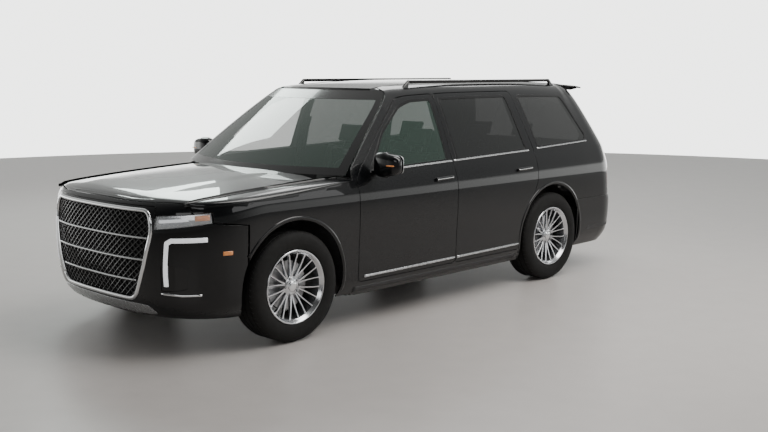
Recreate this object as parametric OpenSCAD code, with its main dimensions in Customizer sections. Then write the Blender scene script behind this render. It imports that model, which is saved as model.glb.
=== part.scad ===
// Three-row family SUV: a body with five doors and a bonnet, steered front wheels and a full cabin.
// Millimetres. Z is up, the front faces -Y and +X is the vehicle's left. The origin lies on the ground
// under the middle of the vehicle.

/* [Overall] */
// Length over the bumpers
body_len = 4980; // [4500:10:5600]
// Width over the body sides, without the mirrors
body_w = 1976; // [1760:4:2200]
// Height of the roof panel's crown
roof_z = 1712; // [1560:4:1900]
// Distance between the axles
wheelbase = 2900; // [2700:10:3200]
// Front bumper to the front axle
front_overhang = 940; // [860:5:1050]

/* [Body heights] */
// Underside of the sills
sill_z = 222; // [180:2:270]
// Waist line, where the side glass starts
belt_z = 1112; // [1030:2:1160]
// Underside of the bumpers
bumper_z = 232; // [190:2:280]
// Top of the bonnet's leading edge
nose_z = 1000; // [930:2:1060]

/* [Wheels] */
// Outer diameter of the tyre
tyre_d = 752; // [680:2:800]
// Width of the tyre
tyre_w = 245; // [205:5:285]
// Diameter of the rim at its flange
rim_d = 548; // [480:2:570]
// Distance between the middles of the left and right tyres
track = 1712; // [1560:4:1800]
// Radius of the wheel arch openings
arch_r = 432; // [400:2:470]

/* [Panels] */
// Gap at each shut line
gap = 9; // [8:0.5:12]
// Thickness of the outer panels
skin = 10; // [6:0.5:12]
// Depth of a whole door
door_t = 96; // [80:1:130]
// Thickness of the window glass
glass_t = 6; // [4:0.5:8]

/* [Hidden] */
seat_gap = 0.3; // between a piece and what it sits on
$fn = 32;
front_y = -body_len / 2;
rear_y = body_len / 2;
axle_f = front_y + front_overhang;
axle_r = axle_f + wheelbase;
tyre_r = tyre_d / 2;
half_w = body_w / 2;
half_track = track / 2;
wheel_z = tyre_r;

// ---- curves ----

// Slope of a table's curve at its row i
function slope(p, i) = let (a = max(i - 1, 0), b = min(i + 1, len(p) - 1))
    (p[b][1] - p[a][1]) / (p[b][0] - p[a][0]);
// The table's interval that holds t
function interval(p, t, i = 0) = i >= len(p) - 2 || t < p[i + 1][0] ? i : interval(p, t, i + 1);
// A smooth curve through a table of [position, value]
function curve(p, t) = let (
        u = min(max(t, p[0][0]), p[len(p) - 1][0]),
        i = interval(p, u), h = p[i + 1][0] - p[i][0], s = (u - p[i][0]) / h)
    p[i][1] * (1 + 2 * s) * (1 - s) * (1 - s) + p[i + 1][1] * s * s * (3 - 2 * s)
    + h * s * (1 - s) * ((1 - s) * slope(p, i) - s * slope(p, i + 1));
function spread(a, b, n) = [for (i = [0:n]) a + (b - a) * i / n];

// ---- the body's outer surface ----

// How far the side lies inside half the body's width, by height
side_inset = [[sill_z - 8, 84], [sill_z + 40, 56], [sill_z + 110, 30], [sill_z + 230, 19],
    [sill_z + 340, 15], [sill_z + 480, 6], [belt_z - 300, 2], [belt_z - 215, 2], [belt_z - 155, 8],
    [belt_z - 105, 22], [belt_z - 55, 40], [belt_z, 64]];
rail_z = roof_z - 14; // where the roof panel meets the side
glass_h = rail_z - belt_z;
// The same above the waist, by share of the glass height
upper_inset = [[0, 64], [0.12, 92], [0.3, 135], [0.5, 185], [0.68, 233], [0.82, 278], [0.91, 320],
    [0.965, 366], [0.99, 420], [1, 480]];
// How far the roof drops below its crown, along the length
roof_drop = [[front_y + 2010, 50], [front_y + 2250, 20], [front_y + 2700, 2], [rear_y - 1900, 0],
    [rear_y - 1100, 6], [rear_y - 500, 30], [rear_y - 260, 52]];
// How far the side draws in towards the ends, as seen from above
function taper(y, up) = (12 + 30 * up) * pow((y - 200) / 2000, 2);

function upper_share(z) = max(z - belt_z, 0) / glass_h;
function side_base(z) = half_w - (z < belt_z ? curve(side_inset, z) : curve(upper_inset, upper_share(z)));
// Real height of the surface's line z at the station y: the roof's drop is shared over the glass
function side_z(y, z) = z - curve(roof_drop, y) * upper_share(z);

// How far the front and rear faces lie inside the overall length, by height
front_set = [[bumper_z - 10, 120], [bumper_z + 30, 70], [bumper_z + 110, 24], [bumper_z + 230, 8],
    [bumper_z + 330, 0], [nose_z - 280, 2], [nose_z - 120, 14], [nose_z - 50, 34], [nose_z, 78],
    [nose_z + 30, 150]];
rear_set = [[bumper_z - 10, 110], [bumper_z + 40, 60], [bumper_z + 120, 18], [bumper_z + 250, 0],
    [bumper_z + 380, 2], [bumper_z + 440, 26], [bumper_z + 560, 44], [belt_z - 160, 62],
    [belt_z, 84], [belt_z + 60, 96]];
nose_len = 690; // length of the rounded front corner, seen from above
nose_pow = 2.75;
tail_len = 230; // length and width of the rounded rear corner, seen from above
tail_in = 200;
tail_pow = 2.4;
tail_top_z = roof_z - 60;
function corner(d, len, pow_n) = d <= 0 ? 1 : pow(max(1 - pow(min(d / len, 1), pow_n), 0), 1 / pow_n);
// Half width of the body at the station y, on the surface's line z
function body_x(y, z) = let (
        yf = front_y + curve(front_set, z))
    (side_base(z) - taper(y, upper_share(z))) * corner(yf + nose_len - y, nose_len, nose_pow);
// Station of the rear face at half width x and height z: bumper and gate below, sloping glass above
function tail_face(x, z) = let (s = (z - belt_z) / (tail_top_z - belt_z))
    rear_y - 60 * pow(abs(x) / 700, 2) - (z < belt_z ? curve(rear_set, z) : 84 + 190 * s + 30 * s * s);

// Station of the windscreen's surface at half width x and height z
screen_base_y = axle_f + 250; // foot of the windscreen on the centre line
screen_top_y = front_y + 2010;
screen_base_z = belt_z - 30;
screen_top_z = roof_z - 68;
function screen_y(x, z) = let (s = (z - screen_base_z) / (screen_top_z - screen_base_z))
    screen_base_y + (screen_top_y - screen_base_y) * s - 60 * s * (1 - s) + 215 * pow(abs(x) / 850, 2);
// Top of the bonnet and of the wings beside it
bonnet_half = 770; // half the bonnet's width at the shut line
bonnet_rise = [[front_y + 80, nose_z], [front_y + 200, nose_z + 34], [front_y + 500, nose_z + 62],
    [front_y + 900, nose_z + 84], [front_y + 1300, nose_z + 100]];
function bonnet_z(x, y) = curve(bonnet_rise, y) - 46 * pow(abs(x) / bonnet_half, 2.6);
// Top of the roof
function roof_top(x, y) = roof_z - curve(roof_drop, y) - 14 * pow(abs(x) / (half_w - 480), 2);

// ---- solids from the surface ----

// A closed solid between two grids of points, whose rows and columns match
module slab(outer, inner) {
    m = len(outer);
    n = len(outer[0]);
    k = m * n;
    points = concat([for (r = outer) each r], [for (r = inner) each r]);
    function id(i, j, s) = i * n + j + s * k;
    function quad(a, b, c, d) = [[a, c, b], [a, d, c]];
    faces = concat(
        [for (i = [0:m - 2]) for (j = [0:n - 2])
            each quad(id(i, j, 0), id(i, j + 1, 0), id(i + 1, j + 1, 0), id(i + 1, j, 0))],
        [for (i = [0:m - 2]) for (j = [0:n - 2])
            each quad(id(i, j, 1), id(i + 1, j, 1), id(i + 1, j + 1, 1), id(i, j + 1, 1))],
        [for (i = [0:m - 2]) each concat(
            quad(id(i, 0, 0), id(i + 1, 0, 0), id(i + 1, 0, 1), id(i, 0, 1)),
            quad(id(i, n - 1, 0), id(i, n - 1, 1), id(i + 1, n - 1, 1), id(i + 1, n - 1, 0)))],
        [for (j = [0:n - 2]) each concat(
            quad(id(0, j, 0), id(0, j, 1), id(0, j + 1, 1), id(0, j + 1, 0)),
            quad(id(m - 1, j, 0), id(m - 1, j + 1, 0), id(m - 1, j + 1, 1), id(m - 1, j, 1)))]);
    polyhedron(points, faces, convexity = 8);
}
// A sculpted shell stays a mesh
module sculpted() resize([0, 0, 0]) children();

low_z = [sill_z - 6, sill_z + 50, sill_z + 170, belt_z - 400, belt_z - 215, belt_z - 130, belt_z];
high_z = [for (s = [0.3, 0.6, 0.82, 0.95, 1]) belt_z + s * glass_h];
side_rows = concat(low_z, high_z);
side_stations = concat(
    [for (d = [60, 140, 260, 420]) front_y + d],
    spread(front_y + 620, rear_y - 620, 11));
tail_angles = [0, 18, 36, 54, 72, 90];

// Walls are thinner above the waist: depth d becomes this at height z
flange = 24; // how deep the door openings' flanges lie
function ease(t) = let (u = min(max(t, 0), 1)) u * u * (3 - 2 * u);
function deep(d, z) = d <= flange ? d : flange + (d - flange) * (1 - 0.72 * ease((z - belt_z + 60) / 120));
// Share of a depth that points down instead of inwards: it grows to 1 where the side meets the roof
function tilt(z) = ease((upper_share(z) - 0.5) / 0.48);
function side_point(y, z, d) = let (t = tilt(z), e = deep(d, z))
    [body_x(y, z) - e * (1 - t), y, side_z(y, z) - e * t];
// Point of the rear corner, where a runs from 0 at the side to 90 at the rear face
function corner_point(a, z, d) = let (
        n = 2 / tail_pow, t = tilt(z) * pow(cos(a), 2), e = deep(d, z),
        x = side_base(z) - taper(rear_y - 300, upper_share(z)) - tail_in * (1 - pow(cos(a), n)),
        y = tail_face(x, z) - tail_len * (1 - pow(sin(a), n)))
    [x - e * cos(a) * (1 - t), y - e * sin(a) * (1 - t), side_z(y, z) - e * t];
// Point of the flat part of the rear face, where u runs from 1 to -1 across it
function face_point(u, z, d) = let (p = corner_point(90, z, 0), x = p[0] * u, y = tail_face(x, z))
    [x, y - d, side_z(y, z)];

// The left side's wall between the depths d0 and d1, round the rear corner
module side_wall(d0, d1, rows = side_rows) {
    function row(z, d) = concat([for (y = side_stations) side_point(y, z, d)],
        [for (a = tail_angles) corner_point(a, z, d)]);
    slab([for (z = rows) row(z, d0)], [for (z = rows) row(z, d1)]);
}
// The rear's wall between the depths d0 and d1, from side to side
module tail_wall(d0, d1, rows) {
    function flip(p) = [-p[0], p[1], p[2]];
    ys = spread(min(bumper_seam_r - 40, rear_y - 700), rear_y - 620, 2);
    function half(z, d) = concat([for (y = ys) side_point(y, z, d)], [for (a = tail_angles) corner_point(a, z, d)]);
    function row(z, d) = let (h = half(z, d)) concat(h, [for (u = spread(0.8, -0.8, 8)) face_point(u, z, d)],
        [for (i = [len(h) - 1:-1:0]) flip(h[i])]);
    slab([for (z = rows) row(z, d0)], [for (z = rows) row(z, d1)]);
}

// Point of a bumper's plan outline at height z, inset by d, where a runs from -90 to 90 across the end
function end_point(a, z, d) = let (
        n = nose_pow, y = front_y + curve(front_set, z) + d + (nose_len - d) * (1 - pow(abs(cos(a)), 2 / n)),
        w = side_base(z) - d - taper(y, 0))
    [w * sign(sin(a)) * pow(abs(sin(a)), 2 / n), y, z];
end_angles = [-90, -80, -68, -56, -44, -32, -20, -8, 8, 20, 32, 44, 56, 68, 80, 90];
module nose_wall(d0, d1, rows) slab([for (z = rows) [for (a = end_angles) end_point(a, z, d0)]],
    [for (z = rows) [for (a = end_angles) end_point(a, z, d1)]]);

// Prisms: an outline seen from the side [y, z], from the front [x, z] or from above [x, y]
module from_side(x0, x1) translate([x0, 0, 0]) rotate([90, 0, 90]) linear_extrude(x1 - x0) children();
module from_front(y0, y1) translate([0, y1, 0]) rotate([90, 0, 0]) linear_extrude(y1 - y0) children();
module from_above(z0, z1) translate([0, 0, z0]) linear_extrude(z1 - z0) children();
module rounded(r) offset(r) offset(delta = -r) children();
module both() {
    children();
    mirror([1, 0, 0]) children();
}
module box_at(low, high) translate(low) cube(high - low);

// ---- shut lines, seen from the side ----

door_front_y = axle_f + arch_r + 150; // leading edge of the front door
pillar_y = door_front_y + 1050; // shut line at the middle pillar
door_low = sill_z + 96; // bottom of the doors
door_rear_y = axle_r - arch_r + 12;
outside = half_w + 60;

function top_line(y) = side_z(y, belt_z + 0.80 * glass_h);
function waist(y) = belt_z - 14 + 0.022 * (y - door_front_y);

module front_door_outline(grow = 0) offset(delta = grow) rounded(28) polygon(concat(
    [[door_front_y, door_low], [door_front_y, belt_z - 60], [door_front_y + 60, belt_z + 6],
    [door_front_y + 330, belt_z + 0.40 * glass_h], [door_front_y + 640, belt_z + 0.82 * glass_h]],
    [for (y = spread(door_front_y + 760, pillar_y + 10, 2)) [y, top_line(y) + 40]],
    [[pillar_y, belt_z], [pillar_y, door_low]]));
module rear_door_outline(grow = 0) offset(delta = grow) rounded(28) polygon(concat(
    [[pillar_y, door_low], [pillar_y, belt_z]],
    [for (y = spread(pillar_y + 10, pillar_y + 990, 4)) [y, top_line(y) + 40]],
    [[pillar_y + 1060, belt_z], [pillar_y + 1040, belt_z - 240], [door_rear_y + 110, sill_z + 480],
    [door_rear_y + 10, sill_z + 300], [door_rear_y - 30, door_low]]));
module front_window_outline(grow = 0) offset(delta = grow) rounded(16) polygon(concat(
    [[door_front_y + 170, waist(door_front_y + 170)], [door_front_y + 390, belt_z + 0.40 * glass_h],
    [door_front_y + 640, belt_z + 0.70 * glass_h]],
    [for (y = spread(door_front_y + 780, pillar_y - 48, 2)) [y, top_line(y) - 4]],
    [[pillar_y - 62, waist(pillar_y)]]));
module rear_window_outline(grow = 0) offset(delta = grow) rounded(16) polygon(concat(
    [[pillar_y + 62, waist(pillar_y)]],
    [for (y = spread(pillar_y + 62, pillar_y + 900, 3)) [y, top_line(y) - 4]],
    [[pillar_y + 955, waist(pillar_y + 1000)]]));
module quarter_window_outline(grow = 0) offset(delta = grow) rounded(22) polygon(concat(
    [[pillar_y + 1130, waist(pillar_y + 1120) + 8]],
    [for (y = spread(pillar_y + 1075, pillar_y + 1720, 3)) [y, top_line(y) - 6]],
    [[pillar_y + 1890, waist(pillar_y + 1900) + 44], [pillar_y + 1840, waist(pillar_y + 1900) + 12]]));
module arch_outline(y, r = arch_r) translate([y, wheel_z + 18]) circle(r, $fn = 48);
bumper_seam_f = axle_f - arch_r + 46;
bumper_seam_r = axle_r + arch_r - 46;

// ---- body ----

jack_y = [axle_f + arch_r + 160, axle_r - arch_r - 160];
floor_z = sill_z + 96; // underside of the cabin floor
floor_t = 24;
load_z = wheel_z + 214; // floor over the rear axle
liner_gap = 32; // from the arch opening's edge to the lining
liner_t = 8;
wall_y = axle_f + arch_r + liner_gap + liner_t + 20 + seat_gap; // rear face of the firewall
step_y = axle_r - arch_r - liner_gap - liner_t - 24 - seat_gap; // where the floor steps up
member_x = half_w - 232; // middle of the side members
module floor_pan() color("dimgray") difference() {
    union() {
        box_at([-half_w, wall_y, floor_z], [half_w, step_y + 24, floor_z + floor_t]);
        box_at([-half_track + 180, step_y, floor_z + floor_t], [half_track - 180, step_y + 24, load_z]);
        box_at([-half_track + 180, step_y, load_z - 24], [half_track - 180, rear_y - 176, load_z]);
        box_at([-half_track + 180, rear_y - 200, bumper_z + 60], [half_track - 180, rear_y - 176, load_z]);
        for (s = [-1, 1]) {
            // side members with the jacking pads under them
            translate([s * member_x - 45, wall_y, sill_z])
                cube([90, step_y + 24 - wall_y, floor_z - sill_z]);
            for (y = jack_y) translate([s * member_x - 30, y - 50, sill_z - 12]) cube([60, 100, 12]);
            // rear rails
            translate([s * 430 - 35, step_y, load_z - 104]) cube([70, rear_y - 176 - step_y, 80]);
        }
    }
    both() sculpted() side_wall(-60, door_t + seat_gap);
}

// Everything of the side that lies behind the wing and the windscreen
module side_limits() from_side(0, outside) polygon([[door_front_y - 44, sill_z - 40],
    [rear_y + 20, sill_z - 40], [rear_y + 20, roof_z], [screen_top_y - 60, roof_z],
    [door_front_y - 44, belt_z - 30]]);
// The space in front of the windscreen's inner face and over the bonnet
module ahead_of_screen(d) {
    zs = spread(screen_base_z - 60, roof_z + 40, 14);
    xs = spread(-half_w - 60, half_w + 60, 20);
    slab([for (z = zs) [for (x = xs) [x, -3 * body_len, z]]],
        [for (z = zs) [for (x = xs) [x, screen_y(x, z) + d, z]]]);
}
gate_y = rear_y - 400; // rear edge of the roof, where the tailgate is hinged
module body_side() color("#23262a") sculpted() {
    side_shell();
    hinge_arms(front_hinge_y);
    hinge_arms(rear_hinge_y);
}
module side_shell() difference() {
    intersection() {
        side_wall(0, door_t);
        side_limits();
    }
    // recess that the doors and the wing lie in
    intersection() {
        side_wall(-50, flange);
        from_side(0, outside) {
            front_door_outline(gap / 2);
            rear_door_outline(gap / 2);
            polygon([[door_front_y - 80, 0], [door_front_y + 10, 0], [door_front_y + 10, belt_z - 70],
                [door_front_y - 80, belt_z]]);
        }
    }
    from_side(0, outside) {
        front_door_outline(-flange);
        rear_door_outline(-flange);
        quarter_window_outline();
        arch_outline(axle_r);
        arch_outline(axle_f, arch_r + 26);
    }
    ahead_of_screen(14);
    hinge_room(front_hinge_y);
    hinge_room(rear_hinge_y);
    // tailgate, bumper and lamp
    from_front(gate_y + 4, rear_y + 50) tailgate_shape(gap / 2);
    from_front(rear_y - 600, rear_y + 50) polygon([[0, 0], [gate_half - 60, bumper_z], [gate_half - 60, load_z], [0, 900]]);
    bumper_space();
    intersection() {
        tail_wall(-30, 50 + seat_gap, tail_rows_all);
        lamp_space(seat_gap);
    }
}
gate_half = half_w - 200; // half the tailgate's width
tail_rows_low = [for (d = [0, 30, 80, 170, 280, 380, 428]) bumper_z + d];
tail_rows_gate = [bumper_z + 436, bumper_z + 500, bumper_z + 580, belt_z - 160, belt_z - 50, belt_z];
tail_rows_glass = [for (s = [0.25, 0.5, 0.72, 0.86, 0.935]) belt_z + s * glass_h];
tail_rows_all = concat(tail_rows_gate, tail_rows_glass);
module tailgate_shape(grow = 0) offset(delta = grow) polygon([[-gate_half, bumper_z + 440],
    [gate_half, bumper_z + 440], [gate_half, belt_z - 10], [gate_half - 200, roof_z - 20],
    [gate_half - 200, roof_z + 60], [-gate_half + 200, roof_z + 60], [-gate_half + 200, roof_z - 20],
    [-gate_half, belt_z - 10]]);
module bumper_space() box_at([0, bumper_seam_r, -100], [outside, rear_y + 60, bumper_z + 430]);
module lamp_space(grow) intersection() {
    from_front(rear_y - 400, rear_y + 50) offset(delta = grow) polygon([[gate_half + gap, bumper_z + 480],
        [gate_half + gap, belt_z - 30], [outside, belt_z - 30], [outside, bumper_z + 480]]);
    box_at([0, rear_y - 290 - grow, 0], [outside, rear_y + 20, 2 * roof_z]);
}

roof_half = half_w - 480; // half the width of the roof panel
module roof_shell(up, down) {
    xs = spread(-roof_half, roof_half, 8);
    ts = [0, 0.04, 0.09, 0.2, 0.35, 0.5, 0.65, 0.8, 0.9, 1];
    function at(x, t) = let (y0 = screen_y(x, screen_top_z) + 10 + 2 * seat_gap) y0 + (gate_y - y0) * t;
    slab([for (t = ts) [for (x = xs) [x, at(x, t), roof_top(x, at(x, t)) + up]]],
        [for (t = ts) [for (x = xs) [x, at(x, t), roof_top(x, at(x, t)) - down]]]);
}
// Hinges of the tailgate: each arm hangs from the roof and carries a pin
gate_hinge_y = gate_y + 24;
gate_hinge_z = roof_top(0, gate_y + 12) - 10;
gate_hinge_x = 400;
module roof_panel() color("#1d2024") sculpted() {
    difference() {
        roof_shell(0, 24);
        both() side_wall(-80, door_t + 60);
    }
    for (s = [-1, 1]) translate([s * gate_hinge_x - 6, gate_hinge_y, gate_hinge_z]) {
        translate([0, -4, -64]) cube([12, 8, 64]);
        translate([0, -76, -64]) cube([12, 80, 14]);
        translate([0, -76, -64]) cube([12, 12, 46]);
        rotate([0, 90, 0]) translate([0, 0, -12]) cylinder(h = 36, r = 5);
    }
}

// Firewall with the shelf that carries the cowl
cowl_z = screen_base_z - 84;
hinge_y = screen_y(bonnet_half, screen_base_z) - 26; // bonnet's hinge
hinge_z = bonnet_z(bonnet_half, hinge_y) - 14;
module bulkhead() color("dimgray") {
    box_at([-half_w + 200, wall_y - 20, floor_z], [half_w - 200, wall_y, cowl_z]);
    box_at([-half_w + 200, screen_base_y - 60, cowl_z - 20], [half_w - 200, wall_y, cowl_z]);
    // brackets and pins of the bonnet's hinges
    for (s = [-1, 1]) {
        translate([s * 756 - 6, hinge_y - 8, cowl_z - 10]) cube([12, 16, hinge_z - cowl_z + 10]);
        translate([s * 756 - 6, hinge_y, hinge_z]) rotate([0, 90, 0]) cylinder(h = 12, r = 8.5);
        translate([s * 742 - 20, hinge_y, hinge_z]) rotate([0, 90, 0]) cylinder(h = 40, r = 5);
    }
}
module cowl() {
    xs = spread(-bonnet_half + 54, bonnet_half - 54, 12);
    function strip(a, b, z0, z1) = [[for (y = [a, b]) [for (x = xs) [x, screen_y(x, screen_base_z) + y, z1]]],
        [for (y = [a, b]) [for (x = xs) [x, screen_y(x, screen_base_z) + y, z0]]]];
    tray = strip(-60, 14, cowl_z, cowl_z + 14);
    lip = strip(0, 12, cowl_z + 10, screen_base_z - seat_gap);
    color("#17181a") sculpted() {
        slab(tray[0], tray[1]);
        slab(lip[0], lip[1]);
    }
}

function screen_half(z) = side_base(belt_z + (z - belt_z) * 1.06) - 20;
module windscreen() {
    zs = spread(screen_base_z, screen_top_z - 1, 8);
    us = spread(-1, 1, 16);
    color("#7d9a94") sculpted() slab(
        [for (z = zs) [for (u = us) let (x = u * screen_half(z)) [x, screen_y(x, z), z]]],
        [for (z = zs) [for (u = us) let (x = u * screen_half(z)) [x, screen_y(x, z) + 10, z]]]);
}

module pane(d = 3) intersection() {
    side_wall(d, d + glass_t);
    from_side(0, outside) children();
}
module quarter_glass() color("#2c3a38") sculpted() both() pane() quarter_window_outline(-seat_gap);

// Wings: the side's skin ahead of the doors, rolled over to the bonnet's edge
wing_rows = 5;
module front_fenders() color("#23262a") sculpted() both() difference() {
    union() {
        intersection() {
            side_wall(0, skin);
            from_side(0, outside) polygon([[bumper_seam_f, sill_z + 14], [bumper_seam_f, nose_z - 160],
                [front_y + 330, nose_z - 130], [front_y + 330, nose_z - 30], [axle_f, nose_z + 0],
                [door_front_y - gap, belt_z - 64], [door_front_y - gap, sill_z + 14]]);
        }
        // flange against the hinge pillar
        intersection() {
            side_wall(skin - 1, flange - seat_gap);
            from_side(0, outside) polygon([[door_front_y - 40, sill_z + 60], [door_front_y - 40, belt_z - 90],
                [door_front_y - 22, belt_z - 90], [door_front_y - 22, sill_z + 60]]);
        }
        wing_top();
    }
    from_side(0, outside) arch_outline(axle_f);
}
function wing_edge_z(y) = lookup(y, [[front_y + 330, nose_z - 30], [axle_f, nose_z], [door_front_y - gap, belt_z - 64]]);
module wing_top() {
    ys = spread(front_y + 330, door_front_y - 48, 12);
    function roll(y, a, d) = let (z0 = wing_edge_z(y) - 1, x0 = body_x(y, z0), x1 = bonnet_half + gap,
            z1 = bonnet_z(bonnet_half, y))
        [x1 + (x0 - x1) * cos(a) - d * cos(a), y, z0 + (z1 - z0) * sin(a) - d * sin(a)];
    slab([for (a = [0:22.5:90]) [for (y = ys) roll(y, a, 0)]],
        [for (a = [0:22.5:90]) [for (y = ys) roll(y, a, skin)]]);
}

nose_rows = [for (z = [bumper_z, bumper_z + 30, bumper_z + 80, bumper_z + 160, bumper_z + 260,
    bumper_z + 360, bumper_z + 470, bumper_z + 580, nose_z - 110, nose_z - 40]) z];
lamp_z = nose_z - 138; // middle of the upper lamps
module front_bumper() color("#1b1d20") sculpted() difference() {
    intersection() {
        nose_wall(0, 40, nose_rows);
        union() {
            box_at([-outside, front_y - 20, 0], [outside, bumper_seam_f - gap / 2, nose_z - 165]);
            box_at([-600, front_y - 20, 0], [600, front_y + 500, nose_z - 40]);
        }
    }
    from_side(-outside, outside) arch_outline(axle_f);
    from_front(front_y - 50, front_y + 420) grille_shape();
    both() from_front(front_y - 50, front_y + 330) headlight_shape(seat_gap);
}
module grille_shape(grow = 0) offset(delta = grow) polygon([[-430, bumper_z + 130], [430, bumper_z + 130],
    [520, bumper_z + 330], [590, nose_z - 190], [560, nose_z - 70], [-560, nose_z - 70], [-590, nose_z - 190],
    [-520, bumper_z + 330]]);
module grille() color("#303336") sculpted() intersection() {
    nose_wall(20, 60, nose_rows);
    from_front(front_y - 50, front_y + 420) grille_shape(-seat_gap);
}
module headlight_shape(grow = 0) offset(delta = grow) polygon([[610, nose_z - 180], [620, nose_z - 96],
    [half_w + 20, nose_z - 66], [half_w + 20, nose_z - 138]]);
module headlights() color("#b9c0c2") sculpted() both() intersection() {
    nose_wall(2, 80, [nose_z - 190, nose_z - 160, nose_z - 130, nose_z - 100, nose_z - 60]);
    from_front(front_y - 50, front_y + 322) headlight_shape();
}

module tail_lights() color("#7a1518") sculpted() both() intersection() {
    tail_wall(0, 50, tail_rows_all);
    lamp_space(0);
}
module rear_bumper() color("#1b1d20") sculpted() difference() {
    union() {
        tail_wall(0, 36, tail_rows_low);
        // the step under the tailgate
        intersection() {
            tail_wall(30, 260, tail_rows_low);
            box_at([-half_track + 180, rear_y - 176 + seat_gap, bumper_z + 330], [half_track - 180, rear_y + 60, bumper_z + 350]);
        }
    }
    from_side(-outside, outside) arch_outline(axle_r);
    box_at([-outside, -body_len, 0], [outside, bumper_seam_r + seat_gap, roof_z]);
}

module tailgate() color("#23262a") sculpted() difference() {
    intersection() {
        union() {
            tail_wall(0, 60, tail_rows_all);
            // spoiler
            gate_roof();
        }
        from_front(rear_y - 600, rear_y + 50) tailgate_shape(-gap / 2);
        box_at([-outside, gate_y + 12, 0], [outside, rear_y + 60, 2 * roof_z]);
    }
    from_front(rear_y - 600, rear_y + 50) tail_window();
    for (x = [-89, 89]) translate([x, rear_y + 20, plate_z + 40]) rotate([90, 0, 0]) cylinder(h = 90, r = 3.6);
    // room for the hinge arms, and the bores of their pins
    for (s = [-1, 1]) translate([s * gate_hinge_x, gate_hinge_y, gate_hinge_z]) {
        translate([-12, -40, -100]) cube([24, 80, 107]);
        rotate([0, 90, 0]) translate([0, 0, -20]) cylinder(h = 40, r = 5 + seat_gap);
    }
}
module gate_roof() {
    xs = spread(-(half_w - 330), half_w - 330, 8);
    ts = [0, 0.3, 0.65, 1];
    function top(x, t) = let (y = gate_y + t * (tail_face(x, tail_top_z) + 75 - gate_y))
        [x, y, roof_top(x, gate_y + 12) - 0.1 * (y - gate_y)];
    slab([for (t = ts) [for (x = xs) top(x, t)]], [for (t = ts) [for (x = xs) top(x, t) - [0, 0, 44 - 26 * t]]]);
}
module tail_window(grow = 0) offset(delta = grow) rounded(30) polygon([[-half_w + 290, belt_z + 20],
    [half_w - 290, belt_z + 20], [half_w - 420, roof_z - 150], [-half_w + 420, roof_z - 150]]);
module tailgate_glass() color("#2c3a38") sculpted() intersection() {
    tail_wall(6, 6 + glass_t, tail_rows_all);
    from_front(rear_y - 600, rear_y + 50) tail_window(-seat_gap);
}
plate_z = bumper_z + 560;
module plate_holder() color("#1b1d20") {
    difference() {
        box_at([-270, plate_face - 60, plate_z - 60], [270, plate_face, plate_z + 60]);
        sculpted() tail_wall(-seat_gap, 120, tail_rows_all);
        for (s = [-1, 1]) translate([s * 89, plate_face + 1, plate_z + 40]) rotate([90, 0, 0]) cylinder(h = 30, r = 3.3);
    }
}
plate_face = tail_face(270, plate_z) + 24;

// Bonnet, whose rear edge runs along the windscreen
function bonnet_width(y) = min(1, corner(front_y + 760 - y, 690, nose_pow) * 1.16);
module bonnet() {
    ts = [0, 0.035, 0.1, 0.22, 0.36, 0.5, 0.64, 0.78, 0.9, 1];
    us = spread(-1, 1, 12);
    function at(u, t) = let (x1 = u * bonnet_half, y1 = min(screen_y(x1, screen_base_z) - 26, hinge_y - 56),
            y = front_y + 90 + (y1 - front_y - 90) * t, x = x1 * bonnet_width(y)) [x, y, bonnet_z(x, y)];
    color("#23262a") sculpted() difference() {
        union() {
            slab([for (t = ts) [for (u = us) at(u, t)]], [for (t = ts) [for (u = us) at(u, t) - [0, 0, 30]]]);
            // hinge ears
            for (s = [-1, 1]) translate([s * 734 - 8, hinge_y, hinge_z]) {
                rotate([0, 90, 0]) cylinder(h = 16, r = 11);
                translate([0, -110, -11]) cube([16, 110, 14]);
            }
        }
        for (s = [-1, 1]) translate([s * 734 - 20, hinge_y, hinge_z]) rotate([0, 90, 0])
            cylinder(h = 40, r = 5 + seat_gap);
        // room for the brackets
        for (s = [-1, 1]) translate([s * 757, hinge_y, hinge_z]) {
            rotate([0, 90, 0]) cylinder(h = 18, r = 9.5, center = true);
            translate([-9, -30, -80]) cube([18, 120, 80]);
        }
    }
}

// ---- doors ----

inner_gap = flange + 28;
hinge_in = 16; // hinge axis inside the outermost skin
hinge_back = 32; // and behind the door's leading edge
hinge_clear = 47; // room round the axis for the leading edge's swing
front_hinge_y = door_front_y + gap / 2 + hinge_back;
rear_hinge_y = pillar_y + gap / 2 + hinge_back;
hinge_levels = [belt_z - 372, belt_z - 242];
function door_hinge(y) = [body_x(y, belt_z - 240) - hinge_in, y, 0];
// What the door carries at the level z: a sleeve and its tab
module hinge_sleeve(y) for (z = hinge_levels) translate(door_hinge(y) + [0, 0, z]) {
    cylinder(h = 40, r = 8);
    translate([-8, 0, 0]) cube([14, inner_gap - hinge_back + 6, 40]);
}
module hinge_bore(y) for (z = hinge_levels) translate(door_hinge(y) + [0, 0, z]) {
    translate([0, 0, -30]) cylinder(h = 100, r = 5 + seat_gap);
    for (h = [-14, 40 + seat_gap]) translate([0, 0, h]) cylinder(h = 14 - seat_gap, r = 9.5);
}
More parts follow.
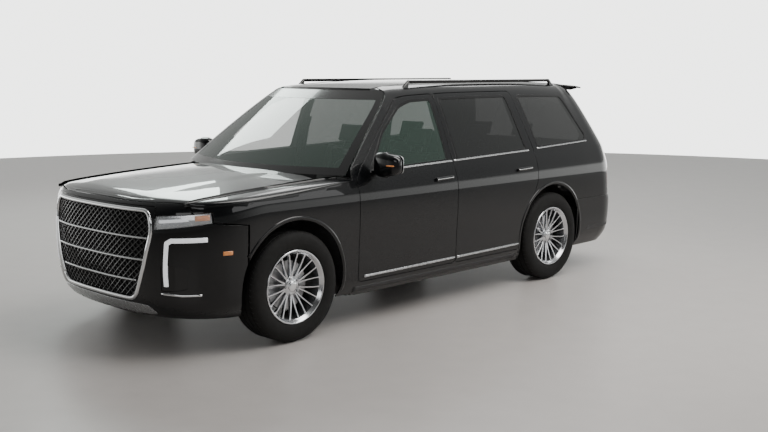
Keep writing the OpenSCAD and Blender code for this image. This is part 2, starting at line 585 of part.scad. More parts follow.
// What the pillar carries: arms above and below the sleeve, and the pin
module hinge_arms(y) for (z = hinge_levels) translate(door_hinge(y) + [0, 0, z]) {
    translate([0, 0, -13]) cylinder(h = 66, r = 5);
    for (h = [-13, 41]) {
        translate([-82, -5, h]) cube([82, 10, 12]);
        translate([-82, -36, h]) cube([24, 41, 12]);
    }
}
module hinge_room(y) translate(door_hinge(y) + [0, 0, door_low - 20]) cylinder(h = belt_z - 20 - door_low, r = hinge_clear);
module door_panel(y) difference() {
    union() {
        intersection() {
            side_wall(0, skin);
            from_side(0, outside) children(0);
        }
        intersection() {
            side_wall(skin - 1, door_t);
            from_side(0, outside) offset(delta = -inner_gap) children(0);
        }
        hinge_sleeve(y);
    }
    from_side(0, outside) children(1);
    hinge_bore(y);
}
module front_door_left() color("#23262a") sculpted() door_panel(front_hinge_y) {
    front_door_outline(-gap / 2);
    front_window_outline();
}
module rear_door_left() color("#23262a") sculpted() door_panel(rear_hinge_y) {
    rear_door_outline(-gap / 2);
    rear_window_outline();
}
module front_glass_left() color("#54706a") sculpted() pane() front_window_outline(-seat_gap);
module rear_glass_left() color("#2c3a38") sculpted() pane() rear_window_outline(-seat_gap);

mirror_y = door_front_y + 190;
module mirror_left() color("#1b1d20") sculpted() difference() {
    union() {
        hull() {
            translate([half_w + 120, mirror_y, belt_z + 30]) scale([1, 0.5, 0.75]) sphere(105, $fn = 12);
            translate([half_w + 40, mirror_y + 20, belt_z + 20]) scale([1, 0.5, 0.9]) sphere(75, $fn = 12);
        }
        hull() {
            translate([half_w - 76, mirror_y - 20, belt_z - 46]) cube([20, 90, 50]);
            translate([half_w + 10, mirror_y, belt_z - 30]) cube([40, 40, 24]);
        }
    }
    side_wall(-seat_gap, door_t);
}

// ---- cabin ----

cabin_half = half_w - 170; // half the clear width at the dashboard
module dashboard() color("#2b2b2d") difference() {
    union() {
        from_side(-cabin_half + 20, cabin_half - 20) polygon([
            [wall_y + seat_gap, belt_z - 110], [wall_y + 220, belt_z - 62], [wall_y + 390, belt_z - 74],
            [wall_y + 450, belt_z - 110], [wall_y + 440, belt_z - 250], [wall_y + 320, belt_z - 400],
            [wall_y + seat_gap, belt_z - 400]]);
        // console between the front seats
        box_at([-120, wall_y + 40, floor_z + floor_t + seat_gap], [120, wall_y + 1020, floor_z + 330]);
        // steering column and its shaft
        translate(wheel_hub) rotate([90 + column_tilt, 0, 0]) {
            translate([0, 0, 30]) cylinder(h = 260, r = 38);
            translate([0, 0, -16]) cylinder(h = 60, r = 12);
        }
    }
    ahead_of_dash();
}
module ahead_of_dash() box_at([-outside, -body_len, 0], [outside, wall_y + seat_gap, roof_z]);
seat_base_z = floor_z + floor_t + seat_gap;
module seat(w, y, base_z, back = 620) {
    // plinth, cushion, backrest and headrest
    translate([-w / 2 + 60, y + 60, base_z]) cube([w - 120, 380, 130]);
    translate([-w / 2, y, base_z + 120]) cube([w, 520, 150]);
    translate([-w / 2 + 10, y + 410, base_z + 250]) rotate([-20, 0, 0]) cube([w - 20, 120, back]);
    translate([-130, y + 430, base_z + 250]) rotate([-20, 0, 0]) translate([0, 15, back + 20]) cube([260, 80, 170]);
    for (x = [-70, 70]) translate([x, y + 430, base_z + 250]) rotate([-20, 0, 0])
        translate([0, 50, back - 20]) cylinder(h = 60, r = 7);
}
module front_seats() color("#34343a") for (s = [-1, 1]) translate([s * 400, 0, 0])
    seat(520, wall_y + 620, seat_base_z);
module middle_seats() color("#34343a") for (s = [-1, 1]) translate([s * 380, 0, 0])
    seat(500, pillar_y + 230, seat_base_z);
module back_bench() color("#34343a") {
    y = axle_r - 60;
    base_z = load_z + seat_gap;
    translate([-480, y, base_z]) cube([960, 460, 170]);
    translate([-470, y + 370, base_z + 150]) rotate([-18, 0, 0]) cube([940, 100, 480]);
    for (x = [-250, 250]) translate([x - 110, y + 370, base_z + 150]) rotate([-18, 0, 0])
        translate([0, 15, 478]) cube([220, 70, 130]);
}

column_tilt = 24;
wheel_hub = [400, wall_y + 570, belt_z - 150];
module steering_wheel() color("#1c1c1e") translate(wheel_hub) rotate([90 + column_tilt, 0, 0]) difference() {
    union() {
        rotate_extrude() translate([172, 0]) circle(15);
        translate([0, 0, -24]) cylinder(h = 44, r = 58);
        for (a = [0, 180, 270]) rotate([0, 0, a]) translate([0, -16, -6]) cube([172, 32, 12]);
    }
    translate([0, 0, -16 - seat_gap]) cylinder(h = 60, r = 12 + seat_gap);
}

// ---- running gear ----

rail_x = 455; // middle of the front side rails
module engine() color("#4c4f52") {
    box_at([-330, axle_f - 260, wheel_z - 40], [330, axle_f + 200, nose_z - 120]);
    // mounts on the side rails
    for (s = [-1, 1]) translate([s * 390 - 65, axle_f - 40, wheel_z + 144 + seat_gap]) cube([130, 80, 40]);
}
module front_frame() color("#303236") difference() {
    union() {
        for (s = [-1, 1]) translate([s * rail_x - 35, front_y + 150, wheel_z + 54])
            cube([70, wall_y - 20 - seat_gap - front_y - 150, 90]);
        box_at([-600, front_y + 150, wheel_z - 90], [600, front_y + 190, wheel_z + 470]);
        box_at([-160, front_y, bumper_z + 300], [160, front_y + 160, bumper_z + 360]);
        for (s = [-1, 1]) translate([s * 500 - 30, front_y + 100, bumper_z + 560]) cube([60, 60, 40]);
    }
    sculpted() nose_wall(-60, 60 + seat_gap, nose_rows);
}
kingpin_x = half_track - 86;
arm_z = wheel_z - 140;
module front_subframe() color("#303236") {
    box_at([-500, axle_f - 60, arm_z - 20], [500, axle_f + 260, arm_z + 40]);
    for (s = [-1, 1]) {
        translate([s * rail_x - 30, axle_f + 140, arm_z + 30]) cube([60, 60, wheel_z + 54 - seat_gap - arm_z - 30]);
        translate([s * 500 - (s > 0 ? 10 : kingpin_x - 500), axle_f - 32, arm_z - 14])
            cube([kingpin_x - 490, 64, 28]);
        translate([s * kingpin_x, axle_f, arm_z - 14]) cylinder(h = 28, r = 32);
        translate([s * kingpin_x, axle_f, arm_z]) cylinder(h = 48, r = 11);
    }
}
module rear_subframe() color("#303236") {
    box_at([-430, axle_r - 200, wheel_z - 110], [430, axle_r + 200, wheel_z - 30]);
    for (s = [-1, 1]) {
        translate([s * 400 - 30, axle_r - 40, wheel_z - 40])
            cube([60, 80, load_z - 104 - seat_gap - wheel_z + 40]);
        translate([s * 420 - (s > 0 ? 0 : half_track - 130 - 420), axle_r - 40, wheel_z - 90])
            cube([half_track - 130 - 420, 80, 46]);
        translate([s * (half_track - 130), axle_r, wheel_z]) rotate([0, 90, 0]) cylinder(h = 60, r = 70, center = true);
        translate([s * (half_track - 60), axle_r, wheel_z]) rotate([0, 90, 0]) cylinder(h = 120, r = 20, center = true);
    }
}
module knuckle() color("#55585c") difference() {
    union() {
        translate([half_track - 130, axle_f, wheel_z]) rotate([0, 90, 0]) cylinder(h = 60, r = 70, center = true);
        translate([half_track - 60, axle_f, wheel_z]) rotate([0, 90, 0]) cylinder(h = 120, r = 20, center = true);
        translate([kingpin_x - 40, axle_f - 34, arm_z + 19]) cube([70, 68, 80]);
        // strut
        translate([kingpin_x - 84, axle_f - 30, wheel_z + 20]) cube([54, 60, 60]);
        translate([kingpin_x - 78, axle_f, wheel_z + 40]) cylinder(h = 330, r = 26);
    }
    translate([kingpin_x, axle_f, arm_z]) cylinder(h = 48 + seat_gap, r = 11 + seat_gap);
}

hub_face = 40; // how far the wheel's mounting face lies outside the tyre's middle
module tyre() color("#161616") rotate([0, 90, 0]) rotate_extrude($fn = 96) polygon([
    [rim_d / 2 - 22, -tyre_w / 2 + 22], [rim_d / 2 + 6, -tyre_w / 2 + 6], [tyre_r - 60, -tyre_w / 2],
    [tyre_r - 14, -tyre_w / 2 + 14], [tyre_r, -tyre_w / 2 + 34], [tyre_r, tyre_w / 2 - 34],
    [tyre_r - 14, tyre_w / 2 - 14], [tyre_r - 60, tyre_w / 2], [rim_d / 2 + 6, tyre_w / 2 - 6],
    [rim_d / 2 - 22, tyre_w / 2 - 22]]);
// Rim with the hub and the brake disc bolted to it
spokes = 10;
module rim() color("#b9bbbd") difference() {
    rotate([0, 90, 0]) rotate_extrude($fn = 96) polygon([
        [rim_d / 2 - 22, -tyre_w / 2 + 22], [rim_d / 2 - 22, tyre_w / 2 - 22], [rim_d / 2 - 2, tyre_w / 2 - 5],
        [rim_d / 2 - 10, tyre_w / 2 - 2], [rim_d / 2 - 32, tyre_w / 2 - 26], [rim_d / 2 - 36, hub_face + 34],
        [70, hub_face + 22], [66, hub_face + 34], [0, hub_face + 34], [0, -20], [70, -20], [70, -14],
        [165, -14], [165, 12], [70, 12], [70, hub_face], [rim_d / 2 - 34, hub_face + 8],
        [rim_d / 2 - 34, -tyre_w / 2 + 22]]);
    for (i = [0:spokes - 1]) rotate([(i + 0.5) * 360 / spokes, 0, 0]) translate([hub_face - 14, 0, 0])
        rotate([90, 0, 90]) linear_extrude(200) polygon([[-16, 92], [16, 92],
            [rim_d / 2 * 0.245, rim_d / 2 - 44], [-rim_d / 2 * 0.245, rim_d / 2 - 44]]);
    translate([-30, 0, 0]) rotate([0, 90, 0]) cylinder(h = 30 + seat_gap, r = 20 + seat_gap);
}
// Inner linings of the wheel arches
module liner(y, x0) translate([x0, y, wheel_z + 18]) rotate([0, 90, 0]) difference() {
    cylinder(h = half_w - x0 - 18, r = arch_r + liner_gap + liner_t, $fn = 48);
    translate([0, 0, -1]) cylinder(h = half_w + 90, r = arch_r + liner_gap, $fn = 48);
}
module wheel_liners() color("#151515") sculpted() both() difference() {
    union() {
        liner(axle_f, 560);
        liner(axle_r, half_track - 180 + seat_gap);
        // inner side of the rear wheel house
        intersection() {
            translate([half_track - 180 + seat_gap, axle_r, wheel_z + 18]) rotate([0, 90, 0])
                cylinder(h = liner_t, r = arch_r + liner_gap + liner_t / 2, $fn = 48);
            box_at([0, 0, load_z - 24], [half_w, rear_y, roof_z]);
        }
    }
    // seated on the wing's skin in front and on the quarter's inner face behind
    intersection() {
        side_wall(-60, skin + seat_gap);
        box_at([0, -body_len, 0], [outside, 0, roof_z]);
    }
    intersection() {
        side_wall(-60, door_t + 6);
        box_at([0, 0, 0], [outside, door_rear_y + 32, roof_z]);
    }
    intersection() {
        side_wall(-60, door_t + seat_gap);
        box_at([0, door_rear_y + 31, 0], [outside, body_len, roof_z]);
    }
    box_at([0, -body_len, -200], [outside + 60, body_len, wheel_z - 60]);
    nose_wall(-60, 46, nose_rows);
}
module at_wheel(front, left) mirror([left ? 0 : 1, 0, 0])
    translate([half_track, front ? axle_f : axle_r, wheel_z]) children();

module fuel_tank() color("#26282b") box_at([-400, step_y - 560, sill_z + 4], [320, step_y - 40, floor_z - seat_gap]);
module exhaust() color("#6f7173") {
    translate([0, axle_r + 560, sill_z + 70]) rotate([0, 90, 0]) cylinder(h = 700, r = 80, center = true);
    translate([0, axle_r + 560, sill_z + 140]) cylinder(h = load_z - 24 - seat_gap - sill_z - 140, r = 12);
}
// Rails stand on the side's upper edge
function rail_at(y, up) = let (z = belt_z + 0.972 * glass_h) [body_x(y, z), y, side_z(y, z) + up];
rail_y0 = screen_top_y + 330;
rail_y1 = rear_y - 640;
module roof_rails() color("#222426") sculpted() both() difference() {
    union() {
        hull() {
            translate(rail_at(rail_y0 + 60, 40)) sphere(13, $fn = 10);
            translate(rail_at(rail_y1 - 60, 40)) sphere(13, $fn = 10);
        }
        for (y = [rail_y0, rail_y1]) let (s = y == rail_y0 ? 1 : -1) hull() {
            translate(rail_at(y + s * 60, 40)) sphere(12, $fn = 10);
            translate(rail_at(y + s * 20, -20) - [12, 30, 0]) cube([24, 60, 10]);
        }
    }
    side_wall(-seat_gap, door_t);
}

floor_pan();
body_side();  // body_side_left
mirror([1, 0, 0]) body_side();  // body_side_right
roof_panel();
bulkhead();
cowl();
windscreen();
quarter_glass();
front_fenders();
front_bumper();
grille();
headlights();
tail_lights();
rear_bumper();
wheel_liners();
front_frame();
engine();
front_subframe();
rear_subframe();
fuel_tank();
exhaust();
dashboard();
front_seats();
middle_seats();
back_bench();
roof_rails();
bonnet();
tailgate();
tailgate_glass();
plate_holder();
front_door_left();
mirror([1, 0, 0]) front_door_left();  // front_door_right
rear_door_left();
mirror([1, 0, 0]) rear_door_left();  // rear_door_right
front_glass_left();
mirror([1, 0, 0]) front_glass_left();  // front_glass_right
rear_glass_left();
mirror([1, 0, 0]) rear_glass_left();  // rear_glass_right
mirror_left();
mirror([1, 0, 0]) mirror_left();  // mirror_right
steering_wheel();
knuckle();  // knuckle_left
mirror([1, 0, 0]) knuckle();  // knuckle_right
at_wheel(true, true) tyre();  // tyre_front_left
at_wheel(true, false) tyre();  // tyre_front_right
at_wheel(false, true) tyre();  // tyre_rear_left
at_wheel(false, false) tyre();  // tyre_rear_right
at_wheel(true, true) rim();  // rim_front_left
at_wheel(true, false) rim();  // rim_front_right
at_wheel(false, true) rim();  // rim_rear_left
at_wheel(false, false) rim();  // rim_rear_right
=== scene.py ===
import bpy, bmesh, math
import numpy as np
from mathutils import Vector, Matrix
from mathutils.geometry import delaunay_2d_cdt


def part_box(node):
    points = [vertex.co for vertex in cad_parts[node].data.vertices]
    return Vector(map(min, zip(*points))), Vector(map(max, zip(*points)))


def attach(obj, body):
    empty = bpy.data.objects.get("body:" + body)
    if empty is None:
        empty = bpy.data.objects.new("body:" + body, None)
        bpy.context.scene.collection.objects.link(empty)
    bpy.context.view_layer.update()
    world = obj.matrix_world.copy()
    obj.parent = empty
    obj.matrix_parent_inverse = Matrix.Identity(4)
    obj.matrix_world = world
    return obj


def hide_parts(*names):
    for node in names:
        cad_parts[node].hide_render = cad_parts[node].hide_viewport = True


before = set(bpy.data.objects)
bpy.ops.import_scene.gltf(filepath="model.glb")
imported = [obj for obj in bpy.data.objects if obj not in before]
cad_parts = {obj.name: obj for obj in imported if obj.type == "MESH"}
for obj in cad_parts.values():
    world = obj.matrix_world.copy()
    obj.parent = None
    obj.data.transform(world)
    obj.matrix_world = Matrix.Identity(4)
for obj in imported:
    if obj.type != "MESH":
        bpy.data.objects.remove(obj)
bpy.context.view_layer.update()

# ------------------------------------------------------------------ the body's surface, in millimetres
FY, RY, AF, AR, HW = -2490.0, 2490.0, -1550.0, 1350.0, 988.0
SILL, BELT, ROOF, NOSE, BZ = 222.0, 1112.0, 1712.0, 1000.0, 232.0
RAIL = ROOF - 14
GH = RAIL - BELT
GAP = 9.0
SEAM = -1940.0  # between the front bumper and the wing
DFY, PY = -968.0, 82.0
DLOW, DRY = 318.0, 930.0
BON = 770.0
ARCH = 432.0
WZ = 376.0
HALF_TRACK = 856.0
NLEN, NPOW, TLEN, TIN, TPOW = 690.0, 2.75, 230.0, 200.0, 2.4
TTOP = ROOF - 60
SBY, STY, SBZ, STZ = AF + 250, FY + 2010, BELT - 30, ROOF - 68
GATE_Y, GATE_H = RY - 400, 788.0


def curve(p, t):
    n = len(p)
    t = min(max(t, p[0][0]), p[-1][0])
    i = 0
    while i < n - 2 and t >= p[i + 1][0]:
        i += 1

    def slope(k):
        a, b = max(k - 1, 0), min(k + 1, n - 1)
        return (p[b][1] - p[a][1]) / (p[b][0] - p[a][0])
    h = p[i + 1][0] - p[i][0]
    s = (t - p[i][0]) / h
    return (p[i][1] * (1 + 2 * s) * (1 - s) ** 2 + p[i + 1][1] * s * s * (3 - 2 * s)
            + h * s * (1 - s) * ((1 - s) * slope(i) - s * slope(i + 1)))


SIDE = [(SILL - 8, 84), (SILL + 40, 56), (SILL + 110, 30), (SILL + 230, 19), (SILL + 340, 15), (SILL + 480, 6),
        (BELT - 300, 2), (BELT - 215, 2), (BELT - 155, 8), (BELT - 105, 22), (BELT - 55, 40), (BELT, 64)]
UPPER = [(0, 64), (0.12, 92), (0.3, 135), (0.5, 185), (0.68, 233), (0.82, 278), (0.91, 320), (0.965, 366),
         (0.99, 420), (1, 480)]
DROP = [(FY + 2010, 50), (FY + 2250, 20), (FY + 2700, 2), (RY - 1900, 0), (RY - 1100, 6), (RY - 500, 30),
        (RY - 260, 52)]
FRONT = [(BZ - 10, 120), (BZ + 30, 70), (BZ + 110, 24), (BZ + 230, 8), (BZ + 330, 0), (NOSE - 280, 2),
         (NOSE - 120, 14), (NOSE - 50, 34), (NOSE, 78), (NOSE + 30, 150)]
REAR = [(BZ - 10, 110), (BZ + 40, 60), (BZ + 120, 18), (BZ + 250, 0), (BZ + 380, 2), (BZ + 440, 26),
        (BZ + 560, 44), (BELT - 160, 62), (BELT, 84), (BELT + 60, 96)]
RISE = [(FY + 80, NOSE), (FY + 200, NOSE + 34), (FY + 500, NOSE + 62), (FY + 900, NOSE + 84),
        (FY + 1300, NOSE + 100)]


def lerp_table(p, t):
    return float(np.interp(t, [a for a, _ in p], [b for _, b in p]))


def taper(y, up): return (12 + 30 * up) * ((y - 200) / 2000) ** 2
def share(z): return max(z - BELT, 0) / GH
def side_base(z): return HW - (curve(SIDE, z) if z < BELT else curve(UPPER, share(z)))
def side_z(y, z): return z - curve(DROP, y) * share(z)


def corner(d, ln, pw):
    return 1.0 if d <= 0 else max(1 - min(d / ln, 1) ** pw, 0) ** (1 / pw)


def body_x(y, z):
    return (side_base(z) - taper(y, share(z))) * corner(FY + curve(FRONT, z) + NLEN - y, NLEN, NPOW)


def tail_face(x, z):
    s = (z - BELT) / (TTOP - BELT)
    return RY - 60 * (abs(x) / 700) ** 2 - (curve(REAR, z) if z < BELT else 84 + 190 * s + 30 * s * s)


def screen_y(x, z):
    s = (z - SBZ) / (STZ - SBZ)
    return SBY + (STY - SBY) * s - 60 * s * (1 - s) + 215 * (abs(x) / 850) ** 2


def bonnet_z(x, y): return curve(RISE, y) - 46 * (abs(x) / BON) ** 2.6
def roof_top(x, y): return ROOF - curve(DROP, y) - 14 * (abs(x) / (HW - 480)) ** 2
def side_pt(y, z): return (body_x(y, z), y, side_z(y, z))


def corner_pt(a, z):
    n = 2 / TPOW
    c, s = max(math.cos(math.radians(a)), 0), math.sin(math.radians(a))
    x = side_base(z) - taper(RY - 300, share(z)) - TIN * (1 - c ** n)
    y = tail_face(x, z) - TLEN * (1 - max(s, 0) ** n)
    return (x, y, side_z(y, z))


# one chart runs from the side, round the rear corner, to the middle of the rear face
S0, S1, S2, S3 = RY - 620, 2140.0, 2480.0, 3280.0


def tail_pt(s, z):
    if s <= S0:
        return side_pt(s, z)
    if s < S1:
        t = (s - S0) / (S1 - S0)
        a, b = side_pt(S0, z), corner_pt(0, z)
        return tuple(a[i] * (1 - t) + b[i] * t for i in range(3))
    if s <= S2:
        return corner_pt((s - S1) / (S2 - S1) * 90, z)
    p = corner_pt(90, z)
    x = p[0] * (1 - (s - S2) / (S3 - S2))
    y = tail_face(x, z)
    return (x, y, side_z(y, z))


def unreal(y, z):
    """the surface line that has the real height z at the station y"""
    if z <= BELT:
        return z
    d = curve(DROP, y) / GH
    return (z - d * BELT) / (1 - d)


def chart_y(y, z):
    """chart point of the real point (y, z) of the side"""
    v = unreal(y, z)
    if y <= S0:
        return (y, v)
    lo, hi = S0, S2
    for _ in range(28):
        m = (lo + hi) / 2
        if tail_pt(m, v)[1] < y:
            lo = m
        else:
            hi = m
    return (lo, v)


def chart_x(x, z):
    """chart point of the real point (x, z) of the rear"""
    v = z
    for _ in range(6):
        lo, hi = S1, S3
        for _ in range(26):
            m = (lo + hi) / 2
            if tail_pt(m, v)[0] > x:
                lo = m
            else:
                hi = m
        v += z - tail_pt(lo, v)[2]
    return (lo, v)


def end_pt(a, z):
    """front end's surface; a runs from -90 to 90 across it"""
    c, s = abs(math.cos(math.radians(a))), math.sin(math.radians(a))
    y = FY + curve(FRONT, z) + NLEN * (1 - c ** (2 / NPOW))
    w = side_base(z) - taper(y, 0)
    return (w * math.copysign(abs(s) ** (2 / NPOW), s), y, z)


def nose_x(x, z):
    w = side_base(z) - 16
    a = math.degrees(math.asin(min((abs(x) / w), 1) ** (NPOW / 2)))
    return (math.copysign(a, x), z)


def nose_y(y, z):
    k = 1 - (y - FY - curve(FRONT, z)) / NLEN
    return (math.degrees(math.acos(min(max(k, 0), 1) ** (NPOW / 2))), z)


WING = [(FY + 330, NOSE - 30), (AF, NOSE), (DFY - GAP, BELT - 64)]


def wing_pt(y, v):
    e = lerp_table(WING, y) - 1
    if v <= e:
        return side_pt(y, v)
    a = math.radians(min((v - e) / 90 * 90, 90))
    x0, x1, z1 = body_x(y, e), BON + GAP, bonnet_z(BON, y)
    return (x1 + (x0 - x1) * math.cos(a), y, e + (z1 - e) * math.sin(a))


# ------------------------------------------------------------------ materials
def fill_in(node, values):
    for key, v in values.items():
        node.inputs[key].default_value = v


def noise(nt, mp, scale, detail):
    """a noise texture fed by the mapping node"""
    n = nt.nodes.new("ShaderNodeTexNoise")
    fill_in(n, {"Scale": scale, "Detail": detail})
    nt.links.new(mp.outputs["Vector"], n.inputs["Vector"])
    return n.outputs["Fac"]


def material(name, base, rough=0.5, metal=0.0, coat=0.0, coat_rough=0.03, bump=0.0, scale=80, detail=4, vary=0.0,
             kind="noise", alpha=1.0, spec=0.5, emit=None, emit_s=0.0, rough_vary=0.0, sheen=0.0, trans=0.0,
             dist=0.02, stretch=(1, 1, 1), ior=1.5):
    m = bpy.data.materials.new(name)
    m.use_nodes = True
    nt = m.node_tree
    b = nt.nodes["Principled BSDF"]
    values = {"Base Color": (*base, 1), "Roughness": rough, "Metallic": metal, "Coat Weight": coat,
              "Coat Roughness": coat_rough, "Specular IOR Level": spec, "Sheen Weight": sheen,
              "Transmission Weight": trans, "IOR": ior, "Alpha": alpha}
    if emit:
        values.update({"Emission Color": (*emit, 1), "Emission Strength": emit_s})
    fill_in(b, values)
    co = nt.nodes.new("ShaderNodeTexCoord")
    mp = nt.nodes.new("ShaderNodeMapping")
    mp.inputs["Scale"].default_value = stretch
    nt.links.new(co.outputs["Object"], mp.inputs["Vector"])
    if kind == "voronoi":
        tx = nt.nodes.new("ShaderNodeTexVoronoi")
        out = tx.outputs["Distance"]
    elif kind == "wave":
        tx = nt.nodes.new("ShaderNodeTexWave")
        tx.inputs["Distortion"].default_value = 1.5
        out = tx.outputs["Fac"]
    else:
        tx = nt.nodes.new("ShaderNodeTexNoise")
        tx.inputs["Detail"].default_value = detail
        out = tx.outputs["Fac"]
    tx.inputs["Scale"].default_value = scale
    nt.links.new(mp.outputs["Vector"], tx.inputs["Vector"])
    if bump:
        bp = nt.nodes.new("ShaderNodeBump")
        fill_in(bp, {"Strength": bump, "Distance": dist})
        nt.links.new(out, bp.inputs["Height"])
        nt.links.new(bp.outputs["Normal"], b.inputs["Normal"])
    if vary:
        rp = nt.nodes.new("ShaderNodeValToRGB")
        rp.color_ramp.elements[0].position = 0.3
        rp.color_ramp.elements[1].position = 0.7
        rp.color_ramp.elements[0].color = (*[c * (1 - vary) for c in base], 1)
        rp.color_ramp.elements[1].color = (*[min(c * (1 + vary), 1) for c in base], 1)
        nt.links.new(noise(nt, mp, scale / 6, 6), rp.inputs["Fac"])
        nt.links.new(rp.outputs["Color"], b.inputs["Base Color"])
    if rough_vary:
        mr = nt.nodes.new("ShaderNodeMapRange")
        fill_in(mr, {"To Min": max(rough - rough_vary, 0.0), "To Max": rough + rough_vary})
        nt.links.new(noise(nt, mp, scale / 3, 5), mr.inputs["Value"])
        nt.links.new(mr.outputs["Result"], b.inputs["Roughness"])
    return m


PAINT = material("paint_black", (0.0032, 0.0036, 0.0044), 0.3, 0.0, coat=0.85, coat_rough=0.012, vary=0.3,
                 scale=900, spec=0.08)
GLOSS = material("gloss_black", (0.004, 0.004, 0.0045), 0.14, coat=0.3, rough_vary=0.03, scale=60, spec=0.35)
TRIM = material("satin_trim", (0.018, 0.018, 0.019), 0.48, bump=0.12, scale=900, vary=0.1, dist=0.0006)
PLASTIC = material("grained_plastic", (0.022, 0.022, 0.023), 0.62, bump=0.25, scale=700, kind="voronoi", vary=0.12,
                   dist=0.0008)
RUBBER = material("tyre_rubber", (0.0075, 0.0073, 0.007), 0.78, spec=0.3, bump=0.18, scale=260, vary=0.25,
                  rough_vary=0.08, dist=0.0015)
SEAL = material("seal_rubber", (0.008, 0.008, 0.008), 0.6, bump=0.1, scale=400, vary=0.1, dist=0.0006)
CHROME = material("chrome", (0.78, 0.79, 0.8), 0.07, 1.0, rough_vary=0.03, scale=40)
SATIN = material("satin_silver", (0.56, 0.57, 0.58), 0.27, 1.0, rough_vary=0.05, scale=70, bump=0.03, dist=0.0004)
ALLOY = material("rim_alloy", (0.62, 0.63, 0.65), 0.2, 1.0, coat=0.5, rough_vary=0.05, scale=90, bump=0.02,
                 dist=0.0003)
ALLOY_D = material("rim_inner", (0.16, 0.165, 0.17), 0.42, 0.9, rough_vary=0.08, scale=80)
IRON = material("cast_iron", (0.1, 0.1, 0.105), 0.55, 0.85, bump=0.25, scale=160, vary=0.25, rough_vary=0.1,
                dist=0.0012)
STEEL = material("brushed_steel", (0.45, 0.45, 0.46), 0.33, 1.0, kind="wave", bump=0.05, scale=180, rough_vary=0.06,
                 dist=0.0004)
UNDER = material("under_coating", (0.03, 0.03, 0.032), 0.7, bump=0.3, scale=220, vary=0.3, dist=0.0015)
ENGINE = material("engine_cast", (0.2, 0.2, 0.21), 0.5, 0.75, bump=0.3, scale=120, vary=0.25, dist=0.002)
CARPET = material("carpet", (0.024, 0.023, 0.023), 0.95, bump=0.25, scale=700, vary=0.3, sheen=0.2, dist=0.001)
LEATHER = material("seat_leather", (0.024, 0.022, 0.021), 0.52, bump=0.06, scale=1100, kind="voronoi", vary=0.15,
                   dist=0.0006, sheen=0.1)
SOFT_DASH = material("dash_soft", (0.011, 0.0107, 0.0107), 0.75, bump=0.03, scale=1400, kind="voronoi", vary=0.12,
                     dist=0.0008)
DISPLAY = material("screen_glass", (0.004, 0.005, 0.007), 0.08, coat=1.0, rough_vary=0.02, scale=30)
GLASS_F = material("glass_front", (0.032, 0.056, 0.045), 0.03, coat=0.4, alpha=0.62, spec=0.7, rough_vary=0.01,
                   scale=8)
GLASS_D = material("glass_privacy", (0.004, 0.005, 0.005), 0.035, coat=0.4, alpha=0.92, spec=0.6, rough_vary=0.012,
                   scale=8)
LENS = material("lamp_lens", (0.75, 0.78, 0.8), 0.05, coat=1.0, alpha=0.3, spec=0.8, rough_vary=0.02, scale=20)
LAMP_IN = material("lamp_reflector", (0.74, 0.75, 0.77), 0.16, 1.0, kind="wave", bump=0.15, scale=60, dist=0.002)
DRL = material("light_bar", (0.85, 0.87, 0.9), 0.25, emit=(0.95, 0.97, 1.0), emit_s=0.55, bump=0.08, scale=150,
               dist=0.0008)
AMBER = material("amber_lens", (0.75, 0.26, 0.07), 0.15, coat=1.0, bump=0.15, scale=180, kind="wave", dist=0.001,
                 emit=(1.0, 0.42, 0.15), emit_s=0.12)
RED = material("tail_red", (0.32, 0.008, 0.01), 0.1, coat=1.0, kind="wave", bump=0.1, scale=110, dist=0.001,
               vary=0.25)
MIRROR = material("mirror_glass", (0.8, 0.82, 0.83), 0.02, 1.0, rough_vary=0.01, scale=10)
PLATE = material("plate_blank", (0.62, 0.62, 0.6), 0.4, bump=0.05, scale=300, vary=0.06, dist=0.0004)


# ------------------------------------------------------------------ building panels from outlines
def dense(loop, step):
    out = []
    for i, p in enumerate(loop):
        q = loop[(i + 1) % len(loop)]
        n = max(int(math.hypot(q[0] - p[0], q[1] - p[1]) / step), 1)
        out += [(p[0] + (q[0] - p[0]) * k / n, p[1] + (q[1] - p[1]) * k / n) for k in range(n)]
    return out


def rounded(loop, r, seg=5):
    out = []
    n = len(loop)
    for i in range(n):
        p, a, b = Vector(loop[i]), Vector(loop[i - 1]), Vector(loop[(i + 1) % n])
        u, v = a - p, b - p
        lu, lv = u.length, v.length
        if lu < 1e-6 or lv < 1e-6:
            out.append(tuple(p))
            continue
        k = min(r, lu * 0.45, lv * 0.45)
        s, e = p + u * (k / lu), p + v * (k / lv)
        for j in range(seg + 1):
            t = j / seg
            out.append(tuple((1 - t) ** 2 * s + 2 * t * (1 - t) * p + t * t * e))
    return out


def grow(loop, d):
    """outline moved outwards by d (inwards if negative)"""
    n = len(loop)
    area = sum(loop[i - 1][0] * loop[i][1] - loop[i][0] * loop[i - 1][1] for i in range(n))
    sg = 1 if area > 0 else -1
    out = []
    for i in range(n):
        p, a, b = Vector(loop[i]), Vector(loop[i - 1]), Vector(loop[(i + 1) % n])
        e1, e2 = (p - a), (b - p)
        if e1.length < 1e-6 or e2.length < 1e-6:
            continue
        e1.normalize(); e2.normalize()
        n1, n2 = Vector((e1.y, -e1.x)) * sg, Vector((e2.y, -e2.x)) * sg
        m = n1 + n2
        if m.length < 0.3:
            m = n1
        m.normalize()
        k = d / max(m.dot(n1), 0.45)
        out.append((p.x + m.x * k, p.y + m.y * k))
    return out


def inside(loop, pts):
    x, y = pts[:, 0], pts[:, 1]
    r = np.zeros(len(pts), bool)
    n = len(loop)
    for i in range(n):
        x1, y1 = loop[i - 1]
        x2, y2 = loop[i]
        if y1 == y2:
            continue
        c = ((y1 > y) != (y2 > y)) & (x < (x2 - x1) * (y - y1) / (y2 - y1) + x1)
        r ^= c
    return r


